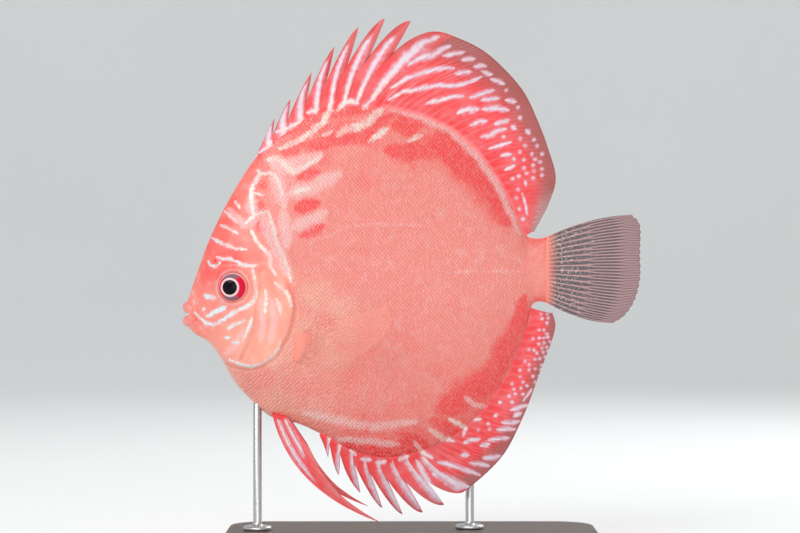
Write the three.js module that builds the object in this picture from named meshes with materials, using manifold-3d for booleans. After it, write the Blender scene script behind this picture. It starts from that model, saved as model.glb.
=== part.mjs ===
// A discus fish as a life-size museum model: a high, thin, disc-shaped body with a long
// dorsal fin and a long anal fin round it, a fan tail, and paired breast and belly fins.
// It swims slightly nose down, held over a flat base by two rods.
//
// Millimetres, +Z up. The head points to -X, the left flank to -Y, and Y = 0 is the fish's
// own middle plane. The origin is the centre of the base's underside.

import * as THREE from "three";
import { mergeVertices } from "three/addons/utils/BufferGeometryUtils.js";
import Module from "manifold-3d";

const wasm = await Module();
wasm.setup();

// Driving dimensions.
const BODY_WIDTH = 22;
const TOUCH_GAP = 0.3;
const MEMBRANE = 0.6;
const RAY_RIDGE = 0.55;
const SPINE_RIDGE = 1.0;
const FIN_ROOT = 2.4;
const EYE_RADIUS = 5.2;
const BASE = { length: 130, width: 64, height: 8, corner: 14, bevel: 1 };
const ROD_RADIUS = 1.5;
const ROD_FOOT = { radius: 5, height: 1.6 };

// How finely the solids are faceted.
const BODY_RINGS = 42;
const BODY_SIDES = 36;

const clamp = (x, low = 0, high = 1) => Math.min(high, Math.max(low, x));
const mix = (a, b, t) => a + (b - a) * t;
const mixPoint = (p, q, t) => [mix(p[0], q[0], t), mix(p[1], q[1], t)];
const smooth = (a, b, x) => {
  const t = clamp((x - a) / (b - a));
  return t * t * (3 - 2 * t);
};

// A height read from a few (place, height) pairs, joined by smooth cubic pieces.
function through(pairs) {
  const last = pairs.length - 1;
  const slope = (i) => {
    const [a, b] = [pairs[Math.max(i - 1, 0)], pairs[Math.min(i + 1, last)]];
    return (b[1] - a[1]) / (b[0] - a[0]);
  };
  return (x) => {
    let i = 0;
    while (i < last - 1 && x > pairs[i + 1][0]) i += 1;
    const [[x0, y0], [x1, y1]] = [pairs[i], pairs[i + 1]];
    const span = x1 - x0;
    const t = clamp((x - x0) / span);
    const [t2, t3] = [t * t, t * t * t];
    return (
      y0 * (2 * t3 - 3 * t2 + 1) +
      y1 * (3 * t2 - 2 * t3) +
      span * (slope(i) * (t3 - 2 * t2 + t) + slope(i + 1) * (t3 - t2))
    );
  };
}

// A smooth outline through a few (x, z) points, read by the share of its length.
function outline(points) {
  const STEPS = 400;
  const curve = new THREE.CatmullRomCurve3(
    points.map(([x, z]) => new THREE.Vector3(x, 0, z)),
    false,
    "centripetal",
  );
  curve.arcLengthDivisions = STEPS;
  const table = curve.getSpacedPoints(STEPS).map((p) => [p.x, p.z]);
  return (share) => {
    const at = clamp(share) * STEPS;
    const i = Math.min(Math.floor(at), STEPS - 1);
    return mixPoint(table[i], table[i + 1], at - i);
  };
}

// The unit vector square to an outline at a share of its length, to the left of its run.
function outwards(curve, share, side) {
  const STEP = 0.004;
  const [a, b] = [curve(share - STEP), curve(share + STEP)];
  const [dx, dz] = [b[0] - a[0], b[1] - a[1]];
  const length = Math.hypot(dx, dz);
  return [(-dz / length) * side, (dx / length) * side];
}

// The body's two edges in its middle plane, from the mouth to the root of the tail fin.
const back = outline([
  [-78.3, 88.9],
  [-75.7, 96.4],
  [-70.3, 110.9],
  [-62.2, 126.7],
  [-52.4, 140.7],
  [-35.3, 154.3],
  [-20.2, 157.8],
  [-4.1, 156.6],
  [9.2, 152.2],
  [19.7, 144.8],
  [28.4, 134.7],
  [35.1, 122.5],
  [40.0, 111.2],
  [43.8, 110.0],
  [47.3, 110.6],
]);
const belly = outline([
  [-77.8, 78.6],
  [-75.5, 76.4],
  [-71.2, 73.9],
  [-66.4, 67.6],
  [-62.2, 60.2],
  [-52.4, 50.0],
  [-48.6, 47.4],
  [-39.8, 45.3],
  [-31.4, 41.4],
  [-21.6, 35.8],
  [-9.7, 32.9],
  [5.7, 35.7],
  [20.7, 44.8],
  [31.9, 59.5],
  [40.0, 78.0],
  [42.4, 87.1],
  [44.9, 88.0],
  [47.3, 87.5],
]);

// Half the body's width as a share of its greatest, from the mouth to the tail, and how
// sharp its upper and lower edges are: a half is an ellipse and one is a wedge.
const widthShare = through([
  [0, 0.34],
  [0.04, 0.47],
  [0.09, 0.65],
  [0.15, 0.82],
  [0.22, 0.93],
  [0.32, 1],
  [0.42, 0.97],
  [0.55, 0.86],
  [0.7, 0.66],
  [0.85, 0.46],
  [1, 0.3],
]);
const edgePower = through([
  [0, 0.5],
  [0.12, 0.6],
  [0.3, 0.74],
  [0.8, 0.74],
  [1, 0.6],
]);
const WIDEST_AT = 0.44; // share of the height where a section is widest
const WIDEST_POWER = Math.log(0.5) / Math.log(WIDEST_AT);

// Half the body's width at a share of its length and a share of the height there.
function halfWidth(along, up) {
  const arch = Math.sin(Math.PI * Math.pow(clamp(up), WIDEST_POWER));
  return (
    (BODY_WIDTH / 2) *
    widthShare(along) *
    Math.pow(Math.max(arch, 0), edgePower(along))
  );
}

// The share of the length and of the height at a point (x, z) of the middle plane.
function placeOf([x, z]) {
  const ahead = (along) => {
    const [low, high] = [belly(along), back(along)];
    return (
      (high[0] - low[0]) * (z - low[1]) - (high[1] - low[1]) * (x - low[0])
    );
  };
  let [low, high] = [0, 1];
  for (let i = 0; i < 30; i += 1) {
    const middle = (low + high) / 2;
    if (ahead(middle) < 0) low = middle;
    else high = middle;
  }
  const [foot, top] = [belly(low), back(low)];
  const height = Math.hypot(top[0] - foot[0], top[1] - foot[1]);
  const up =
    ((x - foot[0]) * (top[0] - foot[0]) + (z - foot[1]) * (top[1] - foot[1])) /
    height ** 2;
  return [low, up];
}
const widthAt = (point) => halfWidth(...placeOf(point));

// A closed indexed geometry from points and triangles.
function geometry(points, triangles) {
  const made = new THREE.BufferGeometry();
  made.setAttribute(
    "position",
    new THREE.Float32BufferAttribute(points.flat(), 3),
  );
  made.setIndex(triangles.flat());
  return made;
}

// A closed solid through rings of equal point counts, with a fan over each end.
function loft(rings) {
  const sides = rings[0].length;
  const middle = (ring) =>
    ring
      .reduce((sum, p) => sum.map((c, k) => c + p[k]), [0, 0, 0])
      .map((c) => c / sides);
  const points = [...rings.flat(), middle(rings[0]), middle(rings.at(-1))];
  const [first, last] = [points.length - 2, points.length - 1];
  const end = (rings.length - 1) * sides;
  const triangles = [];
  for (let j = 0; j < sides; j += 1) {
    const k = (j + 1) % sides;
    for (let i = 0; i + 1 < rings.length; i += 1) {
      const [a, b] = [i * sides, (i + 1) * sides];
      triangles.push([a + j, b + j, b + k], [a + j, b + k, a + k]);
    }
    triangles.push([first, j, k], [last, end + k, end + j]);
  }
  return geometry(points, triangles);
}

// A geometry as a solid, turned the right way out, and a solid as a geometry.
function solid(shape) {
  const bare = shape.clone();
  bare.deleteAttribute("normal");
  bare.deleteAttribute("uv");
  const merged = mergeVertices(bare, 1e-4);
  const vertProperties = merged.attributes.position.array;
  const triVerts = new Uint32Array(merged.index.array);
  const build = () =>
    new wasm.Manifold(new wasm.Mesh({ numProp: 3, vertProperties, triVerts }));
  const made = build();
  if (made.volume() > 0) return made;
  triVerts.reverse();
  return build();
}
function shapeOf(made) {
  const { numProp, vertProperties, triVerts } = largest(made).getMesh();
  const position = [];
  for (let i = 0; i < vertProperties.length; i += numProp)
    position.push(...vertProperties.subarray(i, i + 3));
  const shape = new THREE.BufferGeometry();
  shape.setAttribute("position", new THREE.Float32BufferAttribute(position, 3));
  shape.setIndex([...triVerts]);
  return shape;
}
// Only the largest closed body of a solid is kept.
const largest = (made) =>
  made.decompose().reduce((a, b) => (a.volume() > b.volume() ? a : b));

// The body with its skin moved outwards by grow, and its width scaled.
function bodyShape({ grow = 0, widen = 1 } = {}) {
  const rings = [];
  for (let i = 0; i <= BODY_RINGS; i += 1) {
    const share = i / BODY_RINGS;
    const along = mix(share, share * share, 0.25); // closer rings at the head
    const [foot, top] = [belly(along), back(along)];
    const ring = [];
    for (let j = 0; j < BODY_SIDES; j += 1) {
      const angle = (2 * Math.PI * j) / BODY_SIDES;
      const up = (1 - Math.cos(angle)) / 2;
      const [x, z] = mixPoint(foot, top, up);
      const side = angle < Math.PI ? -1 : 1;
      ring.push([x, side * halfWidth(along, up) * widen, z]);
    }
    rings.push(ring);
  }
  const shape = loft(rings);
  shape.computeVertexNormals();
  const { position, normal } = shape.attributes;
  const outward = solidIsOut(shape) ? grow : -grow;
  for (let i = 0; i < position.array.length; i += 1)
    position.array[i] += outward * normal.array[i];
  return shape;
}
// True if a closed geometry's faces point outwards.
function solidIsOut(shape) {
  const [p, index] = [shape.attributes.position, shape.index.array];
  const corner = (i) => new THREE.Vector3().fromBufferAttribute(p, index[i]);
  let volume = 0;
  for (let i = 0; i < index.length; i += 3)
    volume += corner(i).dot(corner(i + 1).cross(corner(i + 2)));
  return volume > 0;
}
const body = solid(bodyShape());
const bodyAndGap = solid(bodyShape({ grow: TOUCH_GAP }));

// A prism over a closed line of (x, z) points: right through the fish, or on one side of it.
function prism(points, side = 0) {
  const DEPTH = 60;
  const shape = new THREE.Shape(points.map(([x, z]) => new THREE.Vector2(x, z)));
  const made = new THREE.ExtrudeGeometry(shape, { depth: DEPTH, bevelEnabled: false });
  made.rotateX(Math.PI / 2).translate(0, ((1 + side) * DEPTH) / 2, 0);
  return solid(made);
}
// A line of points moved square to its run, to the right of it for a positive distance.
function moved(points, distance) {
  return points.map(([x, z], i) => {
    const a = points[Math.max(i - 1, 0)];
    const b = points[Math.min(i + 1, points.length - 1)];
    const [dx, dz] = [b[0] - a[0], b[1] - a[1]];
    const length = Math.hypot(dx, dz);
    return [x + (dz / length) * distance, z - (dx / length) * distance];
  });
}

// The head ends at the free edge of the gill cover, and above it at the line where the
// scales begin, which runs up to the nape. The line goes from the throat to the nape.
const LINE_STEPS = 26;
const gillEdge = outline([
  [-66.9, 67.4],
  [-59.6, 65.0],
  [-53.4, 65.4],
  [-48.0, 68.6],
  [-44.4, 73.5],
  [-41.8, 79.3],
  [-40.8, 87.0],
  [-43.1, 94.9],
  [-52.1, 109.5],
  [-55.9, 122.5],
  [-54.2, 143.5],
]);
const sampled = (curve, steps) => Array.from({ length: steps + 1 }, (_, i) => curve(i / steps));
const headLine = sampled(gillEdge, LINE_STEPS);

// The regions that part the body reach well past it. The tail stalk begins at STALK_AT.
const AHEAD = -95;
const BEHIND = 60;
const STALK_AT = 40.6;
const STALK_REGION = { bottom: 60, top: 140 };
const LINE_ENDS = { past: 6, forward: 3 };
const everythingAhead = (line) => {
  const [low, high] = [line[0], line.at(-1)];
  const { past, forward } = LINE_ENDS;
  return [
    [AHEAD, low[1] - past],
    [low[0] - forward, low[1] - past],
    ...line,
    [high[0], high[1] + past],
    [AHEAD, high[1] + past],
  ];
};
const everythingBehind = (x) => [
  [x, STALK_REGION.bottom],
  [BEHIND, STALK_REGION.bottom],
  [BEHIND, STALK_REGION.top],
  [x, STALK_REGION.top],
];

// Each gill cover is a plate over the cheek, from behind the cheekbone to the free edge.
const COVER = { proud: 1.04, inside: 0.84, cheek: 0.8 }; // of the body's width
const COVER_REGION = { below: 60, above: 92.6, behind: -36 };
const COVER_STEPS = 14;
const coverFront = outline([
  [-40.2, COVER_REGION.above],
  [-47.9, 98.3],
  [-52.2, 98.9],
  [-53.5, 93.5],
  [-53.9, 80.7],
  [-55.6, 75.2],
  [-59.8, COVER_REGION.below],
]);
const coverLine = sampled(coverFront, COVER_STEPS);
const coverRegion = (line) => [
  ...line,
  [COVER_REGION.behind, COVER_REGION.below],
  [COVER_REGION.behind, COVER_REGION.above],
];
function gillCover(side) {
  return solid(bodyShape({ widen: COVER.proud }))
    .intersect(prism(everythingAhead(moved(headLine, -TOUCH_GAP / 2)), side))
    .intersect(prism(coverRegion(moved(coverLine, -TOUCH_GAP / 2)), side))
    .subtract(solid(bodyShape({ widen: COVER.inside })));
}

// The eye is a flattened ball, sunk in the head and square to the cheek.
const EYE = { at: [-62.0, 93.0], depth: 3.4, sunk: 1.6, forward: 0.12 };
function eyeBall(side, grow = 0) {
  const ball = new THREE.SphereGeometry(1, 16, 10);
  ball.rotateX(Math.PI / 2);
  ball.scale(EYE_RADIUS + grow, EYE.depth + grow, EYE_RADIUS + grow);
  ball.rotateZ(-side * EYE.forward);
  const [x, z] = EYE.at;
  return ball.translate(x, side * (widthAt(EYE.at) - EYE.sunk), z);
}

// Each lip is a tapered roll that runs round the front of the jaw from corner to corner.
const LIP = { reach: 3.1, depth: 3.2, ends: 0.5, steps: 10, sides: 8 };
const UPPER_LIP = { front: -78.4, height: 86.0, thick: 1.7, tall: 2.05, droop: 1.5 };
const LOWER_LIP = { front: -78.4, height: 81.1, thick: 1.75, tall: 1.9, droop: -0.9 };
const MOUTH = { height: 83.5, gape: 1.0, back: -76.4, width: 8 };
function lip({ front, height, thick, tall, droop }, grow = 0) {
  const rings = [];
  for (let i = 0; i <= LIP.steps; i += 1) {
    const turn = ((i / LIP.steps) * 2 - 1) * (Math.PI / 2);
    const back = 1 - Math.cos(turn);
    const size = mix(1, LIP.ends, back);
    const ring = [];
    for (let j = 0; j < LIP.sides; j += 1) {
      const angle = (2 * Math.PI * j) / LIP.sides;
      const out = (thick * size + grow) * Math.cos(angle);
      ring.push([
        front + LIP.depth * back - out * Math.cos(turn),
        (LIP.reach + out) * Math.sin(turn),
        height - droop * back + (tall * size + grow) * Math.sin(angle),
      ]);
    }
    rings.push(ring);
  }
  return loft(rings);
}
function mouth() {
  const LENGTH = 12;
  const slot = new THREE.BoxGeometry(LENGTH, MOUTH.width, MOUTH.gape);
  return slot.translate(MOUTH.back - LENGTH / 2, 0, MOUTH.height);
}

// One small nostril on each side, ahead of the eye.
const NOSTRIL = { at: [-68.5, 102.0], radius: 0.7, depth: 1.2 };
function nostril(side) {
  const { at, radius, depth } = NOSTRIL;
  const pit = new THREE.CylinderGeometry(radius, radius / 2, depth * 2, 8);
  if (side < 0) pit.rotateX(Math.PI);
  return pit.translate(at[0], side * widthAt(at), at[1]);
}

function head() {
  const region = prism(everythingAhead(moved(headLine, -TOUCH_GAP / 2)));
  const underCovers = solid(bodyShape({ grow: 1 }))
    .subtract(solid(bodyShape({ widen: COVER.cheek })))
    .intersect(prism(coverRegion(moved(coverLine, TOUCH_GAP / 2))));
  let made = body.intersect(region).subtract(underCovers).subtract(solid(mouth()));
  for (const shape of [
    lip(UPPER_LIP, TOUCH_GAP),
    lip(LOWER_LIP, TOUCH_GAP),
    ...[-1, 1].flatMap((side) => [eyeBall(side, TOUCH_GAP), nostril(side)]),
  ])
    made = made.subtract(solid(shape));
  return made;
}
function trunk() {
  const ahead = prism(everythingAhead(moved(headLine, TOUCH_GAP / 2)));
  return body
    .subtract(ahead)
    .subtract(prism(everythingBehind(STALK_AT - TOUCH_GAP / 2)));
}
function tailStalk() {
  return body.intersect(prism(everythingBehind(STALK_AT + TOUCH_GAP / 2)));
}

// A fin's solid. Each column is a ray, or the membrane beside one: it runs from root by way
// of bend to tip, and ridge is 1 on a ray and 0 between two. Both faces have the same
// triangles. across gives the place in Y of a point at a share of the column.
const ROWS = [0, 0.14, 0.32, 0.54, 0.77, 1];
function fin(columns, thickness, across = () => 0) {
  const points = [];
  const rows = ROWS.length;
  columns.forEach((column) => {
    const { root, bend, tip } = column;
    const length = Math.hypot(tip[0] - root[0], tip[1] - root[1]);
    const line = ROWS.map((t) => {
      const [x, z] = mixPoint(mixPoint(root, bend, t), mixPoint(bend, tip, t), t);
      return [x, across(column, t, length), z, thickness(column, t, length) / 2];
    });
    points.push(...line.map(([x, y, z, half]) => [x, y - half, z]));
    points.push(...line.map(([x, y, z, half]) => [x, y + half, z]));
  });
  const triangles = [];
  const quad = (a, b, c, d) => triangles.push([a, b, c], [a, c, d]);
  for (let i = 0; i + 1 < columns.length; i += 1) {
    const [a, b] = [2 * rows * i, 2 * rows * (i + 1)];
    const [c, d] = [a + rows, b + rows];
    for (let j = 0; j + 1 < rows; j += 1) {
      quad(a + j, b + j, b + j + 1, a + j + 1);
      triangles.push([c + j, d + j + 1, d + j], [c + j, c + j + 1, d + j + 1]);
    }
    const tip = rows - 1;
    quad(a + tip, b + tip, d + tip, c + tip);
    quad(b, a, c, d);
  }
  const end = 2 * rows * (columns.length - 1);
  for (let j = 0; j + 1 < rows; j += 1) {
    quad(j, j + 1, rows + j + 1, rows + j);
    quad(end + j + 1, end + j, end + rows + j, end + rows + j + 1);
  }
  return geometry(points, triangles);
}

// The thickness of a fin: a fleshy root that thins to the membrane, and a ridge on each ray,
// lower towards its tip.
const ROOT_FADE = 6;
const RIDGE_TAPER = 0.6;
function finThickness(root, ridgeHeight) {
  return ({ ridge }, t, length) => {
    const flesh = 1 - smooth(0, ROOT_FADE, t * length);
    const raised = ridgeHeight * ridge * (1 - RIDGE_TAPER * t);
    return MEMBRANE + (root - MEMBRANE) * flesh + raised;
  };
}
const finOnBody = (columns, root, ridge, across) =>
  solid(fin(columns, finThickness(root, ridge), across)).subtract(bodyAndGap);

// A fin along an edge of the body, out to its rim. pair gives the share of the rim that a
// ray reaches from its share of the edge; side is 1 on the back and -1 on the belly. The
// front part is cut into one pointed lobe for each spine, and the rear part is one smooth
// sheet on soft rays.
const ROOT_SUNK = 2;
const CURL = 0.05; // how far a ray bows forward, of its length
function columnAt({ edge, rim, pair, side }, share, reach, ridge) {
  const out = outwards(edge, share, side);
  const at = edge(share);
  const tip = mixPoint(at, rim(pair(share)), reach);
  const [dx, dz] = [tip[0] - at[0], tip[1] - at[1]];
  return {
    root: [at[0] - out[0] * ROOT_SUNK, at[1] - out[1] * ROOT_SUNK],
    bend: [at[0] + dx / 2 - dz * side * CURL * 2, at[1] + dz / 2 + dx * side * CURL * 2],
    tip,
    ridge,
  };
}
// The places across a lobe, from its front edge to the notch behind it. Its tip is at the
// spine, near the rear, so the rear edge is short and steep.
const SPINE_AT = 0.84;
const LOBE = [0, 0.15, 0.36, 0.6, SPINE_AT, 0.93];
const LOBE_ROUND = 0.8; // under 1, the lobe's front edge is fuller
const CROWD = 1.15; // soft rays stand closer together at the front
function lobedPart(plan) {
  const { lobes, lobeEdge, notch } = plan;
  const columns = [];
  for (let k = 0; k < lobes; k += 1) {
    const last = k === lobes - 1;
    const [low, next] = [notch(k), notch(k + 1)];
    for (const s of last ? [...LOBE, 1] : LOBE) {
      const front = Math.sin((Math.PI / 2) * clamp(s / SPINE_AT)) ** LOBE_ROUND;
      const rise = mix(low, 1, front);
      const fall = last ? 1 : mix(1, next, clamp((s - SPINE_AT) / (1 - SPINE_AT)));
      const share = lobeEdge(k + s);
      columns.push(columnAt(plan, share, Math.min(rise, fall), s === SPINE_AT ? 1 : 0));
    }
  }
  return columns;
}
function softPart(plan) {
  const { from, to, rays } = plan;
  return Array.from({ length: 2 * rays + 1 }, (_, i) => {
    const share = mix(from, to, (i / (2 * rays)) ** CROWD);
    return columnAt(plan, share, 1, i % 2);
  });
}
const DORSAL = {
  edge: back,
  side: 1,
  rim: outline([
    [-51.5, 147.5],
    [-43.3, 157.8],
    [-27.7, 176.7],
    [-18.7, 184.0],
    [-9.3, 187.0],
    [0.2, 185.9],
    [11.2, 182.1],
    [23.9, 176.4],
    [32.6, 169.2],
    [39.3, 161.2],
    [44.0, 151.2],
    [47.6, 141.8],
    [50.4, 131.0],
    [47.8, 122.0],
    [42.8, 112.4],
  ]),
  pair: through([
    [0.298, 0],
    [0.364, 0.078],
    [0.438, 0.223],
    [0.495, 0.351],
    [0.53, 0.44],
    [0.56, 0.56],
    [0.6, 0.625],
    [0.7, 0.72],
    [0.85, 0.878],
    [0.9, 0.925],
    [0.957, 1],
  ]),
  lobes: 8,
  lobeEdge: through([
    [0, 0.298],
    [4, 0.446],
    [8, 0.545],
  ]),
  notch: through([
    [0, 0.15],
    [3, 0.4],
    [8, 0.72],
  ]),
  from: 0.5475,
  to: 0.957,
  rays: 17,
};
const ANAL = {
  edge: belly,
  side: -1,
  rim: outline([
    [-31.6, 38.2],
    [-26.0, 27.7],
    [-18.7, 21.5],
    [-11.0, 15.9],
    [-3.3, 13.5],
    [4.3, 14.3],
    [11.3, 17.0],
    [21.1, 23.7],
    [31.9, 34.1],
    [38.6, 46.9],
    [44.5, 62.2],
    [50.2, 79.4],
    [49.2, 84.0],
  ]),
  pair: through([
    [0.352, 0],
    [0.395, 0.088],
    [0.445, 0.23],
    [0.504, 0.346],
    [0.558, 0.46],
    [0.59, 0.545],
    [0.67, 0.65],
    [0.76, 0.755],
    [0.86, 0.895],
    [0.912, 0.96],
    [0.962, 1],
  ]),
  lobes: 8,
  lobeEdge: through([
    [0, 0.352],
    [4, 0.452],
    [8, 0.565],
  ]),
  notch: through([
    [0, 0.3],
    [4, 0.36],
    [8, 0.6],
  ]),
  from: 0.5675,
  to: 0.962,
  rays: 15,
};

// The tail fin is a fan on the end of the stalk. Its root is as thick as the stalk there.
const TAIL = { root: 47.3 + TOUCH_GAP, top: 110.3, bottom: 87.8, rays: 16, bow: 3.4 };
const tailEdge = outline([
  [77.2, 118.4],
  [79.9, 115.4],
  [80.1, 105],
  [79.9, 94.8],
  [77.7, 87.3],
  [74.2, 82.6],
  [70.6, 80.4],
]);
function tailFin() {
  const columns = Array.from({ length: 2 * TAIL.rays + 1 }, (_, i) => {
    const share = i / (2 * TAIL.rays);
    const root = [TAIL.root, mix(TAIL.top, TAIL.bottom, share)];
    const tip = tailEdge(share);
    const [x, z] = mixPoint(root, tip, 0.5);
    return { root, tip, bend: [x, z + TAIL.bow * (1 - 2 * share)], ridge: i % 2, share };
  });
  const plain = finThickness(MEMBRANE, RAY_RIDGE);
  return fin(columns, (column, t, length) => {
    const flesh = 2 * halfWidth(1, 1 - column.share) * (1 - smooth(0, ROOT_FADE, t * length));
    return Math.max(flesh, plain({ ...column, ridge: t && column.ridge }, t, length));
  });
}

// A breast fin stands out and back from the flank behind each gill cover.
const BREAST = {
  top: [-40.2, 76.3],
  bottom: [-40.4, 67.8],
  root: 3,
  sunk: 1.4,
  rays: 9,
  ridge: 0.35,
  spread: { left: 0.5, right: 0.42 },
  cup: 0.1,
};
const breastEdge = outline([
  [-8.3, 87.3],
  [-6.9, 81.8],
  [-9.4, 76.3],
  [-15.3, 71.2],
  [-23.4, 68.0],
  [-30.4, 66.6],
]);
function breastFin(name, side) {
  const { top, bottom, rays, cup } = BREAST;
  const spread = BREAST.spread[name];
  const columns = Array.from({ length: 2 * rays + 1 }, (_, i) => {
    const share = i / (2 * rays);
    const root = mixPoint(top, bottom, share);
    const tip = breastEdge(share);
    return { root, tip, bend: mixPoint(root, tip, 0.5), ridge: i % 2 };
  });
  const start = widthAt(mixPoint(top, bottom, 0.5)) - BREAST.sunk;
  const across = (_, t, length) => side * (start + length * t * (spread - cup * t));
  return finOnBody(columns, BREAST.root, BREAST.ridge, across);
}

// A belly fin is long and narrow and ends in a thread. The left one is the longer. Its
// first ray curves by way of bow.
const BELLY_FIN = {
  front: [-48.8, 49.2],
  rear: [-43.4, 48.0],
  bow: [-42.6, 22],
  apart: 2.3,
  root: 1.6,
  rays: 5,
  ridge: 0.5,
  long: { left: 1, right: 0.88 },
  spread: { left: 0.06, right: 0.1 },
};
const bellyFinEdge = outline([
  [-10.5, 11.0],
  [-17.6, 15.2],
  [-24.5, 20.4],
  [-31.4, 28.6],
  [-36.0, 37.0],
]);
function bellyFin(name, side) {
  const { front, rear, bow, rays, apart } = BELLY_FIN;
  const [long, spread] = [BELLY_FIN.long[name], BELLY_FIN.spread[name]];
  const columns = Array.from({ length: 2 * rays + 1 }, (_, i) => {
    const share = i / (2 * rays);
    const root = mixPoint(front, rear, share);
    const tip = mixPoint(root, bellyFinEdge(share), long);
    const bend = mixPoint(mixPoint(root, bow, long), mixPoint(root, tip, 0.5), share);
    return { root, tip, bend, ridge: i % 2 };
  });
  const across = (_, t, length) => side * (apart + spread * length * t);
  return finOnBody(columns, BELLY_FIN.root, BELLY_FIN.ridge, across);
}

// The stand: a flat slab with round corners, and two rods on small feet. The front rod
// meets the edge of the belly, and the rear one the right flank behind the anal fin.
const FRONT_ROD = { x: -54.0, y: 0, top: 54.5 };
const REAR_ROD = { x: 20.4, y: 4.6, top: 60 };
function standBase() {
  const { length, width, height, corner, bevel } = BASE;
  const [x, y] = [length / 2 - bevel - corner, width / 2 - bevel - corner];
  const slab = new THREE.Shape();
  slab.absarc(x, y, corner, 0, Math.PI / 2);
  slab.absarc(-x, y, corner, Math.PI / 2, Math.PI);
  slab.absarc(-x, -y, corner, Math.PI, Math.PI * 1.5);
  slab.absarc(x, -y, corner, Math.PI * 1.5, Math.PI * 2);
  const made = new THREE.ExtrudeGeometry(slab, {
    depth: height - 2 * bevel,
    bevelThickness: bevel,
    bevelSize: bevel,
    bevelSegments: 1,
    curveSegments: 6,
  });
  return made.translate(0, 0, bevel);
}
function standRod({ x, y, top }) {
  const foot = BASE.height + TOUCH_GAP;
  const { radius, height } = ROD_FOOT;
  const profile = [
    [0, 0],
    [radius, 0],
    [radius, height * 0.6],
    [radius * 0.8, height],
    [ROD_RADIUS, height],
    [ROD_RADIUS, top - foot],
    [0, top - foot],
  ].map(([r, up]) => new THREE.Vector2(r, up));
  const rod = new THREE.LatheGeometry(profile, 12);
  rod.rotateX(Math.PI / 2).translate(x, y, foot);
  return solid(rod).subtract(bodyAndGap);
}

const COLOURS = {
  skin: 0xf0837a,
  cheek: 0xf2946f,
  fin: 0xe8484a,
  clearFin: 0xd9a9a6,
  lip: 0xf2b09a,
  eye: 0xd8304c,
  wood: 0x6b4a33,
  steel: 0xb9bcc0,
};
const model = new THREE.Group();
function add(name, made, colour, roughness = 0.45, metalness = 0) {
  const shape = shapeOf(made.isBufferGeometry ? solid(made) : made);
  const material = new THREE.MeshStandardMaterial({
    color: COLOURS[colour],
    roughness,
    metalness,
  });
  const mesh = new THREE.Mesh(shape, material);
  mesh.name = name;
  model.add(mesh);
}

add("head", head(), "cheek");
add("trunk", trunk(), "skin");
add("tail_stalk", tailStalk(), "skin");
add("upper_lip", lip(UPPER_LIP), "lip");
add("lower_lip", lip(LOWER_LIP), "lip");
for (const [name, side] of [
  ["left", -1],
  ["right", 1],
]) {
  add(`gill_cover_${name}`, gillCover(side), "cheek");
  add(`eye_${name}`, eyeBall(side), "eye", 0.1);
  add(`pectoral_fin_${name}`, breastFin(name, side), "clearFin");
  add(`pelvic_fin_${name}`, bellyFin(name, side), "fin");
}
add("dorsal_fin_spiny", finOnBody(lobedPart(DORSAL), FIN_ROOT, SPINE_RIDGE), "fin");
add("dorsal_fin_soft", finOnBody(softPart(DORSAL), FIN_ROOT, RAY_RIDGE), "fin");
add("anal_fin_spiny", finOnBody(lobedPart(ANAL), FIN_ROOT, SPINE_RIDGE), "fin");
add("anal_fin_soft", finOnBody(softPart(ANAL), FIN_ROOT, RAY_RIDGE), "fin");
add("caudal_fin", tailFin(), "clearFin");
add("stand_base", standBase(), "wood", 0.5);
add("stand_rod_front", standRod(FRONT_ROD), "steel", 0.3, 1);
add("stand_rod_rear", standRod(REAR_ROD), "steel", 0.3, 1);

export default model;
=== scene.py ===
# %% [markdown]
# # A discus fish on its display stand
#
# A discus is a fish shaped like a plate on edge. It is as high as it is long and barely
# thicker than a thumb, with a fringe of fins nearly all the way round. This notebook dresses
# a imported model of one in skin, scales, fins and eyes. Everything is measured in
# millimetres first and becomes metres only when a mesh is made. The snout points to -X, the
# left flank to -Y, and Y = 0 is the fish's middle plane.

import bpy
import mathutils
import numpy as np
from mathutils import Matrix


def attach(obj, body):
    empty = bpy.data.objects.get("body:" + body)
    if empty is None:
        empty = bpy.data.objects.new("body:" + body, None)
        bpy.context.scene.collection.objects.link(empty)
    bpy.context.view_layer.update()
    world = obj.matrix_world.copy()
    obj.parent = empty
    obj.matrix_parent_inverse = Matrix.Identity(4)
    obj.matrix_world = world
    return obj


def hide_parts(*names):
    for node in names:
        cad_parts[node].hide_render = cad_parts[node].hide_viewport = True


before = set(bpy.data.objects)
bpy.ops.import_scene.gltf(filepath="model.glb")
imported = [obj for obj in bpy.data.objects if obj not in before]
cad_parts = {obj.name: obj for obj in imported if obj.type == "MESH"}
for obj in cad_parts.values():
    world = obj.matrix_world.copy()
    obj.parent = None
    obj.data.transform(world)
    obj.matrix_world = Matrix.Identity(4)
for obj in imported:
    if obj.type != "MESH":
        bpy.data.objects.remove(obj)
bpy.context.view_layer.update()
MM = 0.001
rng = np.random.default_rng(7)

# %% [markdown]
# ## Curves and outlines
#
# A maker draws a fish as two edges, the back and the belly, and fills in the body between
# them. Such an edge could be a traced list of hundreds of points. A few points joined by a
# smooth spline are easier to change, and give a cleaner line. The spline here is the
# centripetal Catmull-Rom one, which never loops or overshoots.


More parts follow.
